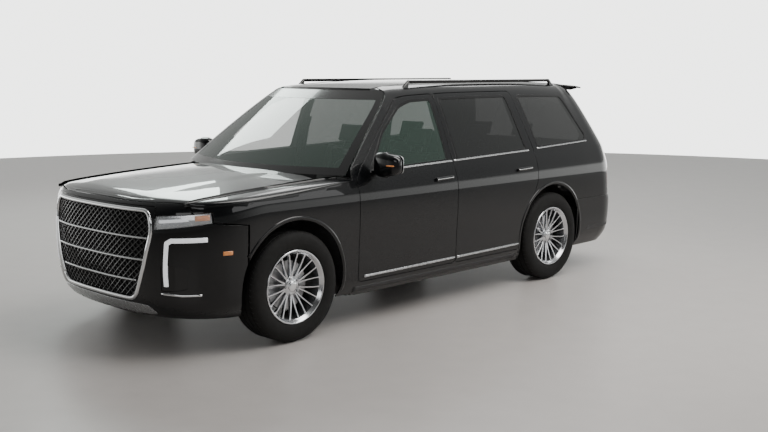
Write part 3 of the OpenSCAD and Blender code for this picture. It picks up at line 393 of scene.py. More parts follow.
def near(loop, pts, d):
    a = np.array(loop)
    b = np.roll(a, -1, 0)
    r = np.zeros(len(pts), bool)
    for p, q in zip(a, b):
        e = q - p
        l2 = max(float(e @ e), 1e-9)
        t = np.clip(((pts - p) @ e) / l2, 0, 1)
        dd = pts - (p + t[:, None] * e)
        r |= (dd ** 2).sum(1) < d * d
    return r


def mesh_object(name, verts, faces, mat, body, normals=None, smooth=True):
    me = bpy.data.meshes.new(name)
    me.from_pydata([tuple(v) for v in verts], [], faces)
    me.update()
    if smooth:
        for p in me.polygons:
            p.use_smooth = True
    if normals is not None:
        me.normals_split_custom_set_from_vertices([tuple(n) for n in normals])
    o = bpy.data.objects.new(name, me)
    bpy.context.scene.collection.objects.link(o)
    for m in (mat if isinstance(mat, (list, tuple)) else [mat]):
        me.materials.append(m)
    if body:
        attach(o, body)
    return o


def face_out(o, weld=0.0):
    """turns the faces of a piece outwards, after welding points closer than weld"""
    bm = bmesh.new()
    bm.from_mesh(o.data)
    if weld:
        bmesh.ops.remove_doubles(bm, verts=bm.verts, dist=weld)
    bmesh.ops.recalc_face_normals(bm, faces=bm.faces)
    bm.to_mesh(o.data)
    bm.free()


def lift_normal(lift, u, v, h=2.0):
    p, a, b = (np.array(lift(*q)) for q in ((u, v), (u + h, v), (u, v + h)))
    n = np.cross(a - p, b - p)
    l = np.linalg.norm(n)
    if l < 1e-6:
        a, b = np.array(lift(u - h, v)), np.array(lift(u, v - h))
        n = np.cross(p - a, p - b)
        l = max(np.linalg.norm(n), 1e-9)
    return n / l


def other(name): return name.replace("left", "right")


def panel(name, body, lift, loops, mat, step=(34, 34), thick=10.0, out=2.5, flip=1, mirror=False, lip=1.2, edge=16,
          keep_rim=True):
    """A skin over the surface: loops are its outline and its holes, in the chart's coordinates."""
    sc = np.array(step, float)
    loops = [dense([(p[0] / sc[0], p[1] / sc[1]) for p in lp], edge / max(step)) for lp in loops]
    outer = np.array(loops[0])
    lo, hi = outer.min(0), outer.max(0)
    gx, gy = np.meshgrid(np.arange(lo[0], hi[0], 1.0), np.arange(lo[1], hi[1], 1.0))
    g = np.stack([gx.ravel() + 0.31, gy.ravel() + 0.27], 1)
    ok = inside(loops[0], g)
    for lp in loops[1:]:
        ok &= ~inside(lp, g)
    for lp in loops:
        ok &= ~near(lp, g, 0.45)
    g = g[ok]
    pts, edges = [], []
    for lp in loops:
        k = len(pts)
        pts += lp
        edges += [(k + i, k + (i + 1) % len(lp)) for i in range(len(lp))]
    pts += [tuple(p) for p in g]
    v2, _, f2, *_ = delaunay_2d_cdt([Vector(p) for p in pts], edges, [], 0, 1e-5)
    c = np.array([[sum(v2[i][0] for i in f) / 3, sum(v2[i][1] for i in f) / 3] for f in f2])
    ok = inside(loops[0], c)
    for lp in loops[1:]:
        ok &= ~inside(lp, c)
    tris = [tuple(f) for f, k in zip(f2, ok) if k]
    P, N = [], []
    for v in v2:
        u, w = v[0] * sc[0], v[1] * sc[1]
        n = lift_normal(lift, u, w) * flip
        P.append(np.array(lift(u, w)) + n * out)
        N.append(n)
    fixed = []
    for a, b, d in tris:
        gn = np.cross(P[b] - P[a], P[d] - P[a])
        fixed.append((a, b, d) if gn @ (N[a] + N[b] + N[d]) > 0 else (a, d, b))
    # rim
    if keep_rim:
        use = {}
        for t in fixed:
            for i in range(3):
                e = (t[i], t[(i + 1) % 3])
                if (e[1], e[0]) in use:
                    use.pop((e[1], e[0]))
                else:
                    use[e] = t
        dirs = {}
        for (a, b) in use:
            e = P[b] - P[a]
            n = N[a] + N[b]
            o = np.cross(e, n)
            o /= max(np.linalg.norm(o), 1e-9)
            for k in (a, b):
                dirs[k] = dirs.get(k, 0) + o
        ids = {}
        for k, d in dirs.items():
            d = d / max(np.linalg.norm(d), 1e-9)
            ids[k] = len(P)
            P.append(P[k] + d * lip - N[k] * lip)
            nn = d + N[k] * 0.4
            N.append(nn / np.linalg.norm(nn))
            P.append(P[k] + d * lip - N[k] * thick)
            N.append(d)
        for (a, b) in use:
            fixed.append((b, a, ids[a], ids[b]))
            fixed.append((ids[b], ids[a], ids[a] + 1, ids[b] + 1))
    V = np.array(P) / 1000
    NN = np.array(N)
    made = [mesh_object(name, V, fixed, mat, body, NN)]
    if mirror:
        mn, mb = other(name), other(body)
        V2, N2 = V * [-1, 1, 1], NN * [-1, 1, 1]
        made.append(mesh_object(mn, V2, [tuple(reversed(f)) for f in fixed], mat, mb, N2))
    return made


def grid_skin(name, body, fn, us, vs, mat, thick=10.0, out=2.0, flip=1, closed_rim=True):
    P, N = [], []
    for v in vs:
        for u in us:
            p = np.array(fn(u, v))
            hu, hv = (us[-1] - us[0]) * 1e-3, (vs[-1] - vs[0]) * 1e-3
            n = np.cross(np.array(fn(u + hu, v)) - np.array(fn(u - hu, v)),
                         np.array(fn(u, v + hv)) - np.array(fn(u, v - hv)))
            n = n / max(np.linalg.norm(n), 1e-9) * flip
            P.append(p + n * out)
            N.append(n)
    w, h = len(us), len(vs)
    F = []
    for j in range(h - 1):
        for i in range(w - 1):
            q = (j * w + i, j * w + i + 1, (j + 1) * w + i + 1, (j + 1) * w + i)
            F.append(q if flip > 0 else tuple(reversed(q)))
    k = len(P)
    ring = [i for i in range(w)] + [j * w + w - 1 for j in range(1, h)] + [(h - 1) * w + i
            for i in range(w - 2, -1, -1)] + [j * w for j in range(h - 2, 0, -1)]
    if closed_rim:
        cen = np.mean(P, 0)
        for r in ring:
            d = P[r] - cen
            d = d - N[r] * (d @ N[r])
            d = d / max(np.linalg.norm(d), 1e-9)
            P.append(P[r] - N[r] * thick)
            N.append(d)
        n = len(ring)
        for i in range(n):
            q = (ring[(i + 1) % n], ring[i], k + i, k + (i + 1) % n)
            F.append(q if flip > 0 else tuple(reversed(q)))
    return mesh_object(name, np.array(P) / 1000, F, mat, body, np.array(N))


# ------------------------------------------------------------------ outlines
def top_line(y): return side_z(y, BELT + 0.80 * GH)
def waist(y): return BELT - 14 + 0.022 * (y - DFY)
def spread(a, b, n): return [a + (b - a) * i / n for i in range(n + 1)]


FDOOR = rounded([(DFY, DLOW), (DFY, BELT - 60), (DFY + 60, BELT + 6), (DFY + 330, BELT + 0.40 * GH),
                 (DFY + 640, BELT + 0.82 * GH)]
                + [(y, top_line(y) + 40) for y in spread(DFY + 760, PY + 10, 2)] + [(PY, BELT), (PY, DLOW)], 40)
RDOOR = rounded([(PY, DLOW), (PY, BELT)] + [(y, top_line(y) + 40) for y in spread(PY + 10, PY + 990, 4)]
                + [(PY + 1060, BELT), (PY + 1040, BELT - 240), (DRY + 110, SILL + 480), (DRY + 10, SILL + 300),
                   (DRY - 30, DLOW)], 40)
FWIN = rounded([(DFY + 170, waist(DFY + 170)), (DFY + 390, BELT + 0.40 * GH), (DFY + 640, BELT + 0.70 * GH)]
               + [(y, top_line(y) - 4) for y in spread(DFY + 780, PY - 48, 2)] + [(PY - 62, waist(PY))], 24)
RWIN = rounded([(PY + 62, waist(PY))] + [(y, top_line(y) - 4) for y in spread(PY + 62, PY + 900, 3)]
               + [(PY + 955, waist(PY + 1000))], 24)
QWIN = rounded([(PY + 1130, waist(PY + 1120) + 8)] + [(y, top_line(y) - 6) for y in spread(PY + 1075, PY + 1720, 3)]
               + [(PY + 1890, waist(PY + 1900) + 44), (PY + 1840, waist(PY + 1900) + 12)], 30)


def to_chart(loop, step=60): return [chart_y(*p) for p in dense(loop, step)]


def arc(cy, r, z_low, n=40, rev=False):
    """the arch's edge above the height z_low, from front to rear"""
    cz = WZ + 18
    a0 = math.asin(max(min((z_low - cz) / r, 1), -1))
    pts = [(cy - r * math.cos(a), cz + r * math.sin(a)) for a in spread(a0, math.pi - a0, n)]
    return pts[::-1] if rev else pts

# ------------------------------------------------------------------ painted panels
wing_outline = ([(FY + 334, NOSE - 128), (FY + 332, NOSE - 66), (FY + 238, NOSE - 74)]
                + [(y, lerp_table(WING, y) - 1) for y in spread(FY + 238, DFY - GAP, 28)]
                + [(DFY - GAP, SILL + 16)]
                + arc(AF, ARCH + 2, SILL + 16, rev=True)
                + [(FY + 560, NOSE - 160)])
wing_outline = [p for p in wing_outline if not (p[0] < SEAM + 8 and p[1] < NOSE - 170)]
panel("wing_left", "body", wing_pt, [wing_outline], PAINT, flip=1, mirror=True, step=(30, 22), out=2.8)
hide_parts("front_fenders")


def wing_roll(y, a):
    """the wing's rolled upper edge, from the shoulder line to the bonnet's shut line"""
    e = lerp_table(WING, y) - 1
    x0, x1, z1 = body_x(y, e), BON + GAP, bonnet_z(BON, y) + 1
    c, q = max(math.cos(math.radians(a)), 0) ** 0.8, max(math.sin(math.radians(a)), 0) ** 0.8
    x0 = max(x0, x1)
    return (x1 + (x0 - x1) * c, y, e + (z1 - e) * q)


ROLL_Y = FY + 196
for sg, sd in ((1, "left"), (-1, "right")):
    grid_skin("wing_roll_" + sd, "body", lambda y, a: (sg * wing_roll(y, a)[0],) + wing_roll(y, a)[1:],
              spread(ROLL_Y, DFY - 50, 60), spread(2, 88, 12), PAINT, out=2.8, thick=14, flip=-sg)

door_in = -GAP / 2 + 1
for nm, out_l, win in (("front_door", FDOOR, FWIN), ("rear_door", RDOOR, RWIN)):
    panel(nm + "_skin_left", nm + "_left_body", tail_pt, [to_chart(grow(out_l, door_in)), to_chart(grow(win, 12))],
          PAINT, mirror=True, step=(32, 22))
    # the window's gloss black surround
    panel(nm + "_window_frame_left", nm + "_left_body", tail_pt, [to_chart(grow(win, 14)), to_chart(grow(win, -3))],
          GLOSS, mirror=True, step=(30, 30), out=3.6, thick=8)
    gl = GLASS_F if nm == "front_door" else GLASS_D
    a = panel(nm.replace("door", "glass") + "_pane_left", nm + "_left_body", tail_pt, [to_chart(grow(win, 2))], gl,
              mirror=True, step=(40, 30), out=-1.5, thick=4)
    for o, sd in zip(a, ("left", "right")):
        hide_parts(nm.replace("door", "glass") + "_" + sd)

# side of the body round the doors
hole_f, hole_r = to_chart(grow(FDOOR, GAP / 2 - 1)), to_chart(grow(RDOOR, GAP / 2 - 1))


def pillar_edge(z):
    """chart point of the windscreen pillar's front edge at the surface line z"""
    y = SBY
    for _ in range(60):
        y = 0.5 * y + 0.5 * (screen_y(body_x(y, z), side_z(y, z)) + 4)
    return (y, z)


def gate_edge(z, g):
    """chart point beside the tailgate at the surface line z"""
    lo, hi = S0, S2 + 300
    for _ in range(30):
        m = (lo + hi) / 2
        p = tail_pt(m, z)
        lim = GATE_H if p[2] < BELT - 10 else max(GATE_H - 200 * (p[2] - BELT + 10) / (ROOF - 20 - BELT + 10),
                                                  GATE_H - 200)
        if p[0] > lim + g:
            lo = m
        else:
            hi = m
    return (lo, z)


lamp_s = chart_y(RY - 288, BELT - 60)[0]
side_top = RAIL - 1
# the wide outline of the side as three pieces: sill and front pillar to roof; quarter; lamp corner left open
a_pillar = [pillar_edge(z) for z in spread(BELT + 6, RAIL - 6, 16)]
outer = ([(DFY - 40, SILL + 2)] + [(DFY - 40, BELT - 88), (DFY - 42, BELT - 30)] + a_pillar
         + [(y, side_top) for y in spread(a_pillar[-1][0] + 30, GATE_Y + 40, 30)]
         + [gate_edge(z, GAP / 2) for z in spread(RAIL - 4, BELT - 28, 14)
            if gate_edge(z, GAP / 2)[0] > GATE_Y + 46]
         + [(lamp_s, BELT - 28), (lamp_s, BZ + 478), gate_edge(BZ + 478, 8), gate_edge(BZ + 434, 8)]
         + [(s, BZ + 434) for s in spread(2300, RY - 754 + 10, 10)]
         + [(RY - 754, BZ + 434)] + [p for p in arc(AR, ARCH + 2, SILL + 4, rev=True) if p[0] < RY - 754]
         )
outer = [p for i, p in enumerate(outer) if i == 0 or math.hypot(p[0] - outer[i - 1][0], p[1] - outer[i - 1][1]) > 3]
panel("side_skin_left", "body", tail_pt, [outer, hole_f, hole_r, to_chart(grow(QWIN, 12))], PAINT,
      mirror=True, step=(30, 22))
panel("quarter_frame_left", "body", tail_pt, [to_chart(grow(QWIN, 14)), to_chart(grow(QWIN, -3))], GLOSS,
      mirror=True, step=(30, 30), out=3.6, thick=8)
q = panel("quarter_pane_left", "body", tail_pt, [to_chart(grow(QWIN, 2))], GLASS_D, mirror=True,
          step=(40, 30), out=-1.5, thick=4)
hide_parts("quarter_glass")

# roof and windscreen
grid_skin("roof_skin", "body", lambda x, t: (x, (screen_y(x, STZ) + 14) + (GATE_Y - screen_y(x, STZ) - 14) * t,
          roof_top(x, (screen_y(x, STZ) + 14) + (GATE_Y - screen_y(x, STZ) - 14) * t)),
          spread(-HW + 484, HW - 484, 36), spread(0, 1, 60), PAINT, out=2.6)


def half_screen(z): return side_base(BELT + (z - BELT) * 1.06) - 20


ws = grid_skin("windscreen_pane", "body", lambda u, z: (u * half_screen(z), screen_y(u * half_screen(z), z), z),
               spread(-1, 1, 60), spread(SBZ, STZ - 1, 30), GLASS_F, out=0.5, thick=5)
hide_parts("windscreen")
# black ceramic band round the windscreen
for nm, us, zs in (("screen_band_top", spread(-0.97, 0.97, 50), spread(STZ - 62, STZ + 3, 4)),
                   ("screen_band_low", spread(-0.99, 0.99, 50), spread(SBZ - 2, SBZ + 44, 3)),
                   ("screen_band_left", spread(0.93, 1.0, 3), spread(SBZ, STZ, 24)),
                   ("screen_band_right", spread(-1.0, -0.93, 3), spread(SBZ, STZ, 24))):
    grid_skin(nm, "body", lambda u, z: (u * half_screen(z), screen_y(u * half_screen(z), z), z), us, zs, GLOSS,
              out=1.4, thick=3)

# bonnet with its raised centre
HY = screen_y(BON, SBZ) - 26


def bonnet_lead(x):
    """station and height of the bonnet's leading edge on the nose's surface"""
    z = NOSE
    for _ in range(5):
        a = math.radians(nose_x(min(abs(x), BON + GAP), z)[0])
        y = FY + curve(FRONT, z) + NLEN * (1 - math.cos(a) ** (2 / NPOW)) + 7
        z = bonnet_z(min(abs(x), BON), y) - 10
    return y, z


def bonnet_pt(u, t):
    x = u * BON
    y1 = min(screen_y(x, SBZ) - 25, HY - 54)
    y0 = bonnet_lead(x)[0]
    y = y0 + (y1 - y0) * t
    k = max(0.0, min((abs(u) - 0.50) / 0.16, 1.0))
    k = k * k * (3 - 2 * k)
    return (x, y, bonnet_z(x, y) + 5.0 * (1 - k) * min(t * 5, 1) - 9 * max(1 - t * 22, 0) ** 2)


grid_skin("bonnet_skin", "bonnet_body", bonnet_pt, spread(-1, 1, 84), [t ** 1.15 for t in spread(0, 1, 70)], PAINT,
          out=2.2, thick=14)

# covers between the bonnet's rear corners and the windscreen
HZ = bonnet_z(BON, HY) - 14
for sg, sd in ((1, "left"), (-1, "right")):
    grid_skin("cowl_corner_" + sd, "body",
              lambda x, t: (sg * x, (HY - 47) + (min(screen_y(x, SBZ) - 3, HY + 26) - HY + 47) * t, HZ + 6 + 3 * t),
              spread(560, 774, 16), spread(0, 1, 5), TRIM, out=0.5, thick=6, flip=sg)
# front bumper
GRILLE = [(-430, BZ + 130), (430, BZ + 130), (520, BZ + 330), (590, NOSE - 190), (560, NOSE - 70),
          (-560, NOSE - 70), (-590, NOSE - 190), (-520, BZ + 330)]


def flat(loop): return [nose_x(*p) for p in loop]


def head_chart(g=0.0):
    a = [nose_x(610 - g, NOSE - 180 - g), nose_x(620 - g, NOSE - 96 + g)]
    e = nose_y(FY + 322 + g, NOSE - 72)
    f = nose_y(FY + 322 + g, NOSE - 134)
    top = [(a[1][0] + (e[0] - a[1][0]) * t, a[1][1] + (e[1] + g - a[1][1]) * t) for t in spread(0, 1, 8)]
    low = [(f[0] + (a[0][0] - f[0]) * t, f[1] - g + (a[0][1] - f[1] + g) * t) for t in spread(0, 1, 8)]
    return top + low




def bumper_loop():
    L = [(0, NOSE - 42), nose_x(598, NOSE - 42), nose_x(606, NOSE - 92)]
    L += [nose_x(604, NOSE - 186)]
    L += [(nose_y(FY + 322, NOSE - 142)[0], NOSE - 139)]
    L += [nose_y(SEAM - 2 - GAP / 2, NOSE - 166)]
    ys = [p for p in arc(AF, ARCH + 3, BZ + 6) if p[0] < SEAM - 2 - GAP / 2]
    L += [nose_y(*p) for p in reversed(ys)]
    L += [(a, BZ + 4) for a in spread(nose_y(ys[0][0], BZ + 4)[0] - 1, 0, 20)]
    return L


half = bumper_loop()
full = half + [(-a, z) for a, z in reversed(half[1:-1])]
grille_l = flat(rounded(GRILLE, 30))
vent_l = [nose_x(640, BZ + 190), nose_x(652, BZ + 372), nose_x(800, BZ + 356), nose_x(790, BZ + 210)]
vent_r = [(-a, z) for a, z in reversed(vent_l)]
LOW = [nose_x(-560, BZ + 26), nose_x(560, BZ + 26), nose_x(520, BZ + 96), nose_x(-520, BZ + 96)]


def nose_lift(a, z): return end_pt(a, z)


panel("front_bumper_skin", "body", nose_lift, [full, grille_l, rounded(vent_l, 14), rounded(vent_r, 14)], PAINT,
      step=(3.2, 26), flip=1, edge=22)
panel("front_skid_plate", "body", nose_lift, [rounded(LOW, 12)], SATIN, step=(4, 20), out=5.5, thick=7)
for nm, vl in (("vent_left", vent_l), ("vent_right", vent_r)):
    panel(nm + "_recess", "body", nose_lift, [rounded(vl, 10)], TRIM, step=(4, 24), out=-12, thick=3,
          keep_rim=False)


def ribbon(name, body, lift, line, width, mat, out=6.0, thick=4.0, flip=1, mirror=False):
    """A raised strip along a chart line: a crowned band with rolled edges."""
    P, N, F = [], [], []
    pts = [np.array(p, float) for p in line]
    L3 = [np.array(lift(*p)) for p in pts]
    prof = [(-0.5, -1.0), (-0.5, 0.0), (-0.36, 0.7), (0, 1.0), (0.36, 0.7), (0.5, 0.0), (0.5, -1.0)]
    for i, p in enumerate(pts):
        n = lift_normal(lift, *p) * flip
        t = L3[min(i + 1, len(pts) - 1)] - L3[max(i - 1, 0)]
        t /= max(np.linalg.norm(t), 1e-9)
        s = np.cross(n, t)
        w = width(i / (len(pts) - 1)) if callable(width) else width
        for a, b in prof:
            P.append(L3[i] + s * a * w + n * (out + b * thick))
    m = len(prof)
    for i in range(len(pts) - 1):
        for k in range(m - 1):
            F.append((i * m + k, i * m + k + 1, (i + 1) * m + k + 1, (i + 1) * m + k))
    F.append(tuple(range(m)))
    F.append(tuple(reversed(range((len(pts) - 1) * m, len(pts) * m))))
    V = np.array(P) / 1000
    res = []
    for nm2, bd, sx in [(name, body, 1)] + ([(other(name), other(body), -1)] if mirror else []):
        o = mesh_object(nm2, V * [sx, 1, 1], F, mat, None)
        face_out(o)
        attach(o, bd)
        res.append(o)
    return res


def polyline(pts, step=22):
    out = []
    for p, q in zip(pts[:-1], pts[1:]):
        n = max(int(math.hypot(q[0] - p[0], q[1] - p[1]) / step), 1)
        out += [(p[0] + (q[0] - p[0]) * k / n, p[1] + (q[1] - p[1]) * k / n) for k in range(n)]
    return out + [pts[-1]]


# grille: chrome surround, diamond mesh, dark back
surround = rounded(grow(GRILLE, 6), 60)
ribbon("grille_surround", "body", lambda x, z: end_pt(*nose_x(x, z)), polyline(surround + [surround[0]], 20), 26,
       CHROME, out=5, thick=7)
panel("grille_back", "body", lambda x, z: end_pt(*nose_x(x, z)), [rounded(GRILLE, 20)], SEAL, step=(40, 40),
      out=-17, thick=3, keep_rim=False)
GR = rounded(GRILLE, 24)


def clip_line(p, q, loop, n=120):
    pts = np.array([(p[0] + (q[0] - p[0]) * t, p[1] + (q[1] - p[1]) * t) for t in np.linspace(0, 1, n)])
    ok = inside(loop, pts)
    runs, cur = [], []
    for a, k in zip(pts, ok):
        if k:
            cur.append(tuple(a))
        elif cur:
            runs.append(cur)
            cur = []
    if cur:
        runs.append(cur)
    return [r for r in runs if len(r) > 2]


V, F = [], []
for sg in (-1, 1):
    for k in range(-30, 31):
        x0 = k * 52.0
        for run in clip_line((x0 - sg * 360, BZ + 120), (x0 + sg * 360, NOSE - 60), GR, 60):
            pts = [np.array(end_pt(*nose_x(*p))) for p in run]
            b = len(V)
            for i, p in enumerate(pts):
                n = lift_normal(lambda x, z: end_pt(*nose_x(x, z)), *run[i])
                t = pts[min(i + 1, len(pts) - 1)] - pts[max(i - 1, 0)]
                t /= max(np.linalg.norm(t), 1e-9)
                s = np.cross(n, t)
                for a, h in ((-4, -16), (-2.2, -4), (2.2, -4), (4, -16)):
                    V.append(p + s * a + n * h)
            for i in range(len(pts) - 1):
                for c in range(3):
                    F.append((b + i * 4 + c, b + i * 4 + c + 1, b + i * 4 + c + 5, b + i * 4 + c + 4))
mesh_object("grille_mesh", np.array(V) / 1000, F, GLOSS, "body")
for i, z in enumerate((BZ + 250, BZ + 390, BZ + 530)):
    hw = 470 if i == 0 else (548 if i == 1 else 575)
    ribbon(f"grille_bar_{i}", "body", lambda x, zz: end_pt(*nose_x(x, zz)),
           polyline([(-hw + 14, z), (hw - 14, z)], 24), 13, SATIN, out=-1, thick=4)

# fascia between the bonnet's leading edge and the grille and lamps
fas = [(0, NOSE - 36), nose_x(604, NOSE - 36), nose_x(611, NOSE - 88)]
s_, e_ = nose_x(620, NOSE - 92), nose_y(FY + 322, NOSE - 68)
for t in spread(0.04, 1, 30):
    q_ = (s_[0] + (e_[0] - s_[0]) * t, s_[1] + (e_[1] - s_[1]) * t)
    if end_pt(*q_)[1] < FY + 235:
        fas.append(q_)
fas += [nose_y(y, lerp_table(WING, y) - 3) for y in spread(FY + 235, ROLL_Y + 4, 6)]
fas += [nose_x(x, bonnet_lead(x)[1] - 4) for x in spread(BON + 2, 40, 24)]
fas_full = fas + [(0, bonnet_lead(0)[1] - 4)] + [(-a, z) for a, z in reversed(fas[1:])]
panel("nose_fascia", "body", nose_lift, [fas_full], PAINT, step=(3.0, 16), thick=12, out=2.6, edge=14)
# headlamps: lens over a reflector with light bars, and the tall bars in the bumper
hl = head_chart()
a = panel("headlamp_lens_left", "body", nose_lift, [hl], LENS, step=(2.4, 16), out=1.5, thick=4, mirror=True)
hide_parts("headlights")
panel("headlamp_bowl_left", "body", nose_lift, [head_chart(-1)], LAMP_IN, step=(2.4, 16), out=-14, thick=16,
      mirror=True)
mid = [nose_x(640, NOSE - 128), nose_x(800, NOSE - 112), nose_y(FY + 180, NOSE - 104), nose_y(FY + 236, NOSE - 102)]
ribbon("headlamp_bar_left", "body", nose_lift, polyline(mid, 2.5), 20, DRL, out=-6, thick=5, mirror=True)
amb = [nose_y(FY + 240, NOSE - 102), nose_y(FY + 312, NOSE - 100)]
ribbon("headlamp_amber_left", "body", nose_lift, polyline(amb, 1.2), 34, AMBER, out=-5, thick=5, mirror=True)
for i, (x0, z0) in enumerate(((672, NOSE - 150), (742, NOSE - 146), (812, NOSE - 140))):
    bpy.ops.mesh.primitive_uv_sphere_add(segments=24, ring_count=14, radius=0.021)
    lens = bpy.context.object
    lens.name = f"headlamp_lens_cell_left_{i}"
    p = np.array(end_pt(*nose_x(x0, z0))) + lift_normal(nose_lift, *nose_x(x0, z0)) * -14
    lens.data.transform(Matrix.Translation(Vector(p / 1000)) @ Matrix.Diagonal((1, 0.5, 0.55, 1)))
    for f in lens.data.polygons:
        f.use_smooth = True
    lens.data.materials.append(LENS)
    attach(lens, "body")
    o2 = lens.copy()
    o2.data = lens.data.copy()
    o2.data.transform(Matrix.Diagonal((-1, 1, 1, 1)))
    o2.data.flip_normals()
    o2.name = f"headlamp_lens_cell_right_{i}"
    o2.parent = None
    bpy.context.scene.collection.objects.link(o2)
    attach(o2, "body")
ribbon("bumper_light_left", "body", nose_lift,
       polyline([nose_x(884, NOSE - 236), nose_x(720, NOSE - 244), nose_x(694, NOSE - 262),
                 nose_x(684, BZ + 380)] + [nose_x(676, BZ + 230)], 2.2),
       30, DRL, out=3, thick=5, mirror=True)
ribbon("bumper_chrome_left", "body", nose_lift,
       polyline([nose_x(640, BZ + 180), nose_x(760, BZ + 172), nose_y(-2220, BZ + 176)], 2.2),
       15, CHROME, out=3, thick=4, mirror=True)
mk = [nose_y(FY + 380, NOSE - 330), nose_y(FY + 440, NOSE - 330)]
ribbon("side_marker_left", "body", nose_lift, polyline(mk, 1), 26, AMBER, out=3, thick=3, mirror=True)
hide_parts("grille")

# rear bumper, tail lamps, tailgate
arch_tail = [p for p in arc(AR, ARCH + 2, SILL + 14, rev=True) if p[0] > RY - 752]


rb = ([(RY - 752, BZ + 424)] + [(s, BZ + 424) for s in spread(RY - 730, S3, 26)] + [(S3, BZ + 4)]
      + [(s, BZ + 4) for s in spread(S3 - 40, arch_tail[-1][0] + 8, 24)] + list(reversed(arch_tail)))
rb = [p for i, p in enumerate(rb) if i == 0 or math.hypot(p[0] - rb[i - 1][0], p[1] - rb[i - 1][1]) > 3]
panel("rear_bumper_skin_left", "body", tail_pt, [rb], PAINT, step=(32, 24), mirror=True, lip=0.2)
skid = [chart_x(x, BZ + 30) for x in spread(620, 0, 10)] + [chart_x(x, BZ + 130) for x in spread(0, 560, 10)]
panel("rear_skid_left", "body", tail_pt, [skid], SATIN, step=(40, 20), out=5, thick=6, mirror=True, lip=0.2)
low_band = [(s, BZ + 168) for s in spread(RY - 560, S3, 30)] + [(S3, BZ + 140)] + [(s, BZ + 140)
        for s in spread(S3 - 30, RY - 575, 30)]
panel("rear_trim_left", "body", tail_pt, [low_band], TRIM, step=(32, 20), out=3.4, thick=5, mirror=True, lip=0.2)
for i, z in enumerate((BZ + 262,)):
    ref = [chart_x(x, z) for x in (700, 560)]
    ribbon(f"rear_reflector_left_{i}", "body", tail_pt, polyline(ref, 18), 26, RED, out=3, thick=3, mirror=True)

lamp = ([(lamp_s + 2, BELT - 32)] + [(s, BELT - 32) for s in spread(lamp_s + 20, gate_edge(BELT - 32, 9)[0], 8)]
        + [gate_edge(z, 9) for z in spread(BELT - 50, BZ + 500, 12)] + [(s, BZ + 482)
                for s in spread(gate_edge(BZ + 482, 9)[0], lamp_s + 2, 8)])
a = panel("tail_lamp_lens_left", "body", tail_pt, [lamp], RED, step=(20, 20), out=2, thick=5, mirror=True)
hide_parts("tail_lights")
tl = [(lamp_s + 40, BELT - 70), (gate_edge(BELT - 80, 40)[0], BELT - 76),
      (gate_edge(BELT - 200, 40)[0], BELT - 200), (gate_edge(BZ + 530, 40)[0], BZ + 530)]
ribbon("tail_lamp_bar_left", "body", tail_pt, polyline(tl, 20), 14, DRL, out=2, thick=3, mirror=True)

gate_top = BELT + 0.93 * GH
gl = ([gate_edge(z, -GAP / 2 + 1) for z in spread(BZ + 446, gate_top, 26)]
      + [(s, gate_top) for s in spread(gate_edge(gate_top, 0)[0] + 30, S3, 14)] + [chart_x(0, z)
              for z in (ROOF - 140,)]
      + [chart_x(x, ROOF - 140) for x in spread(40, HW - 428, 8)] + [chart_x(HW - 404 + 12, ROOF - 170),
              chart_x(HW - 280, BELT + 50), chart_x(HW - 296, BELT + 10)]
      + [chart_x(x, BELT + 10) for x in spread(HW - 340, 0, 8)]
      + [(s, BZ + 446) for s in spread(S3, gate_edge(BZ + 446, 0)[0] + 20, 18)])
panel("tailgate_skin_left", "tailgate_body", tail_pt, [gl], PAINT, step=(30, 22), mirror=True, lip=0.2)
wl = [chart_x(x, BELT + 8) for x in spread(0, HW - 296, 10)] + [chart_x(HW - 280, BELT + 40),
        chart_x(HW - 392, ROOF - 170), chart_x(HW - 424, ROOF - 140)] + [chart_x(x, ROOF - 140)
                for x in spread(HW - 450, 0, 8)]
a = panel("tailgate_pane_left", "tailgate_body", tail_pt, [wl], GLASS_D, step=(40, 30), out=-1, thick=4,
          mirror=True, lip=0.0)
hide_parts("tailgate_glass")
ribbon("tailgate_chrome", "tailgate_body", lambda x, z: (x, tail_face(x, z), z),
       polyline([(-560, BELT - 172), (560, BELT - 172)], 30), 18, CHROME, out=4, thick=5, flip=-1)


def spoiler(u, t):
    x = u * (HW - 330)
    y = GATE_Y + 12 + t * (tail_face(x, TTOP) + 73 - GATE_Y - 12)
    return (x, y, roof_top(x, GATE_Y + 12) - 0.1 * (y - GATE_Y) - 4 * t * t)


grid_skin("spoiler_skin", "tailgate_body", lambda u, t: spoiler(u, t), spread(-1, 1, 50), spread(0, 1, 16), PAINT,
          out=2.2, thick=12)
ribbon("brake_lamp", "tailgate_body", lambda x, q: (x, tail_face(x, TTOP) + 70 - q,
                                                    roof_top(x, GATE_Y + 12) - 0.1 * (tail_face(x,
                                                            TTOP) + 70 - GATE_Y) - 20),
       polyline([(-150, 0), (150, 0)], 20), 14, RED, out=-3, thick=3, flip=1)

# ------------------------------------------------------------------ handles, sills, waist strips, arch lips, mirrors
for nm, y0, y1, bd in (("front", PY - 250, PY - 60, "front_door"), ("rear", PY + 760, PY + 950, "rear_door")):
    z = BELT - 128
    ribbon(nm + "_handle_left", bd + "_left_body", tail_pt, polyline([(y0, z), (y1, z + 4)], 12), 30, PAINT, out=14,
           thick=11, mirror=True)
    ribbon(nm + "_handle_strip_left", bd + "_left_body", tail_pt, polyline([(y0 + 4, z - 3), (y1 - 4, z + 1)], 12),
           7, CHROME, out=24.5, thick=2,
           mirror=True)
ribbon("front_sill_chrome_left", "front_door_left_body", tail_pt,
       polyline([(DFY + 60, DLOW + 36), (PY - 16, DLOW + 42)], 24), 20, SATIN, out=3, thick=7,
       mirror=True)
ribbon("rear_sill_chrome_left", "rear_door_left_body", tail_pt,
       polyline([(PY + 16, DLOW + 42), (DRY - 46, DLOW + 47)], 24), 20, SATIN, out=3, thick=7,
       mirror=True)
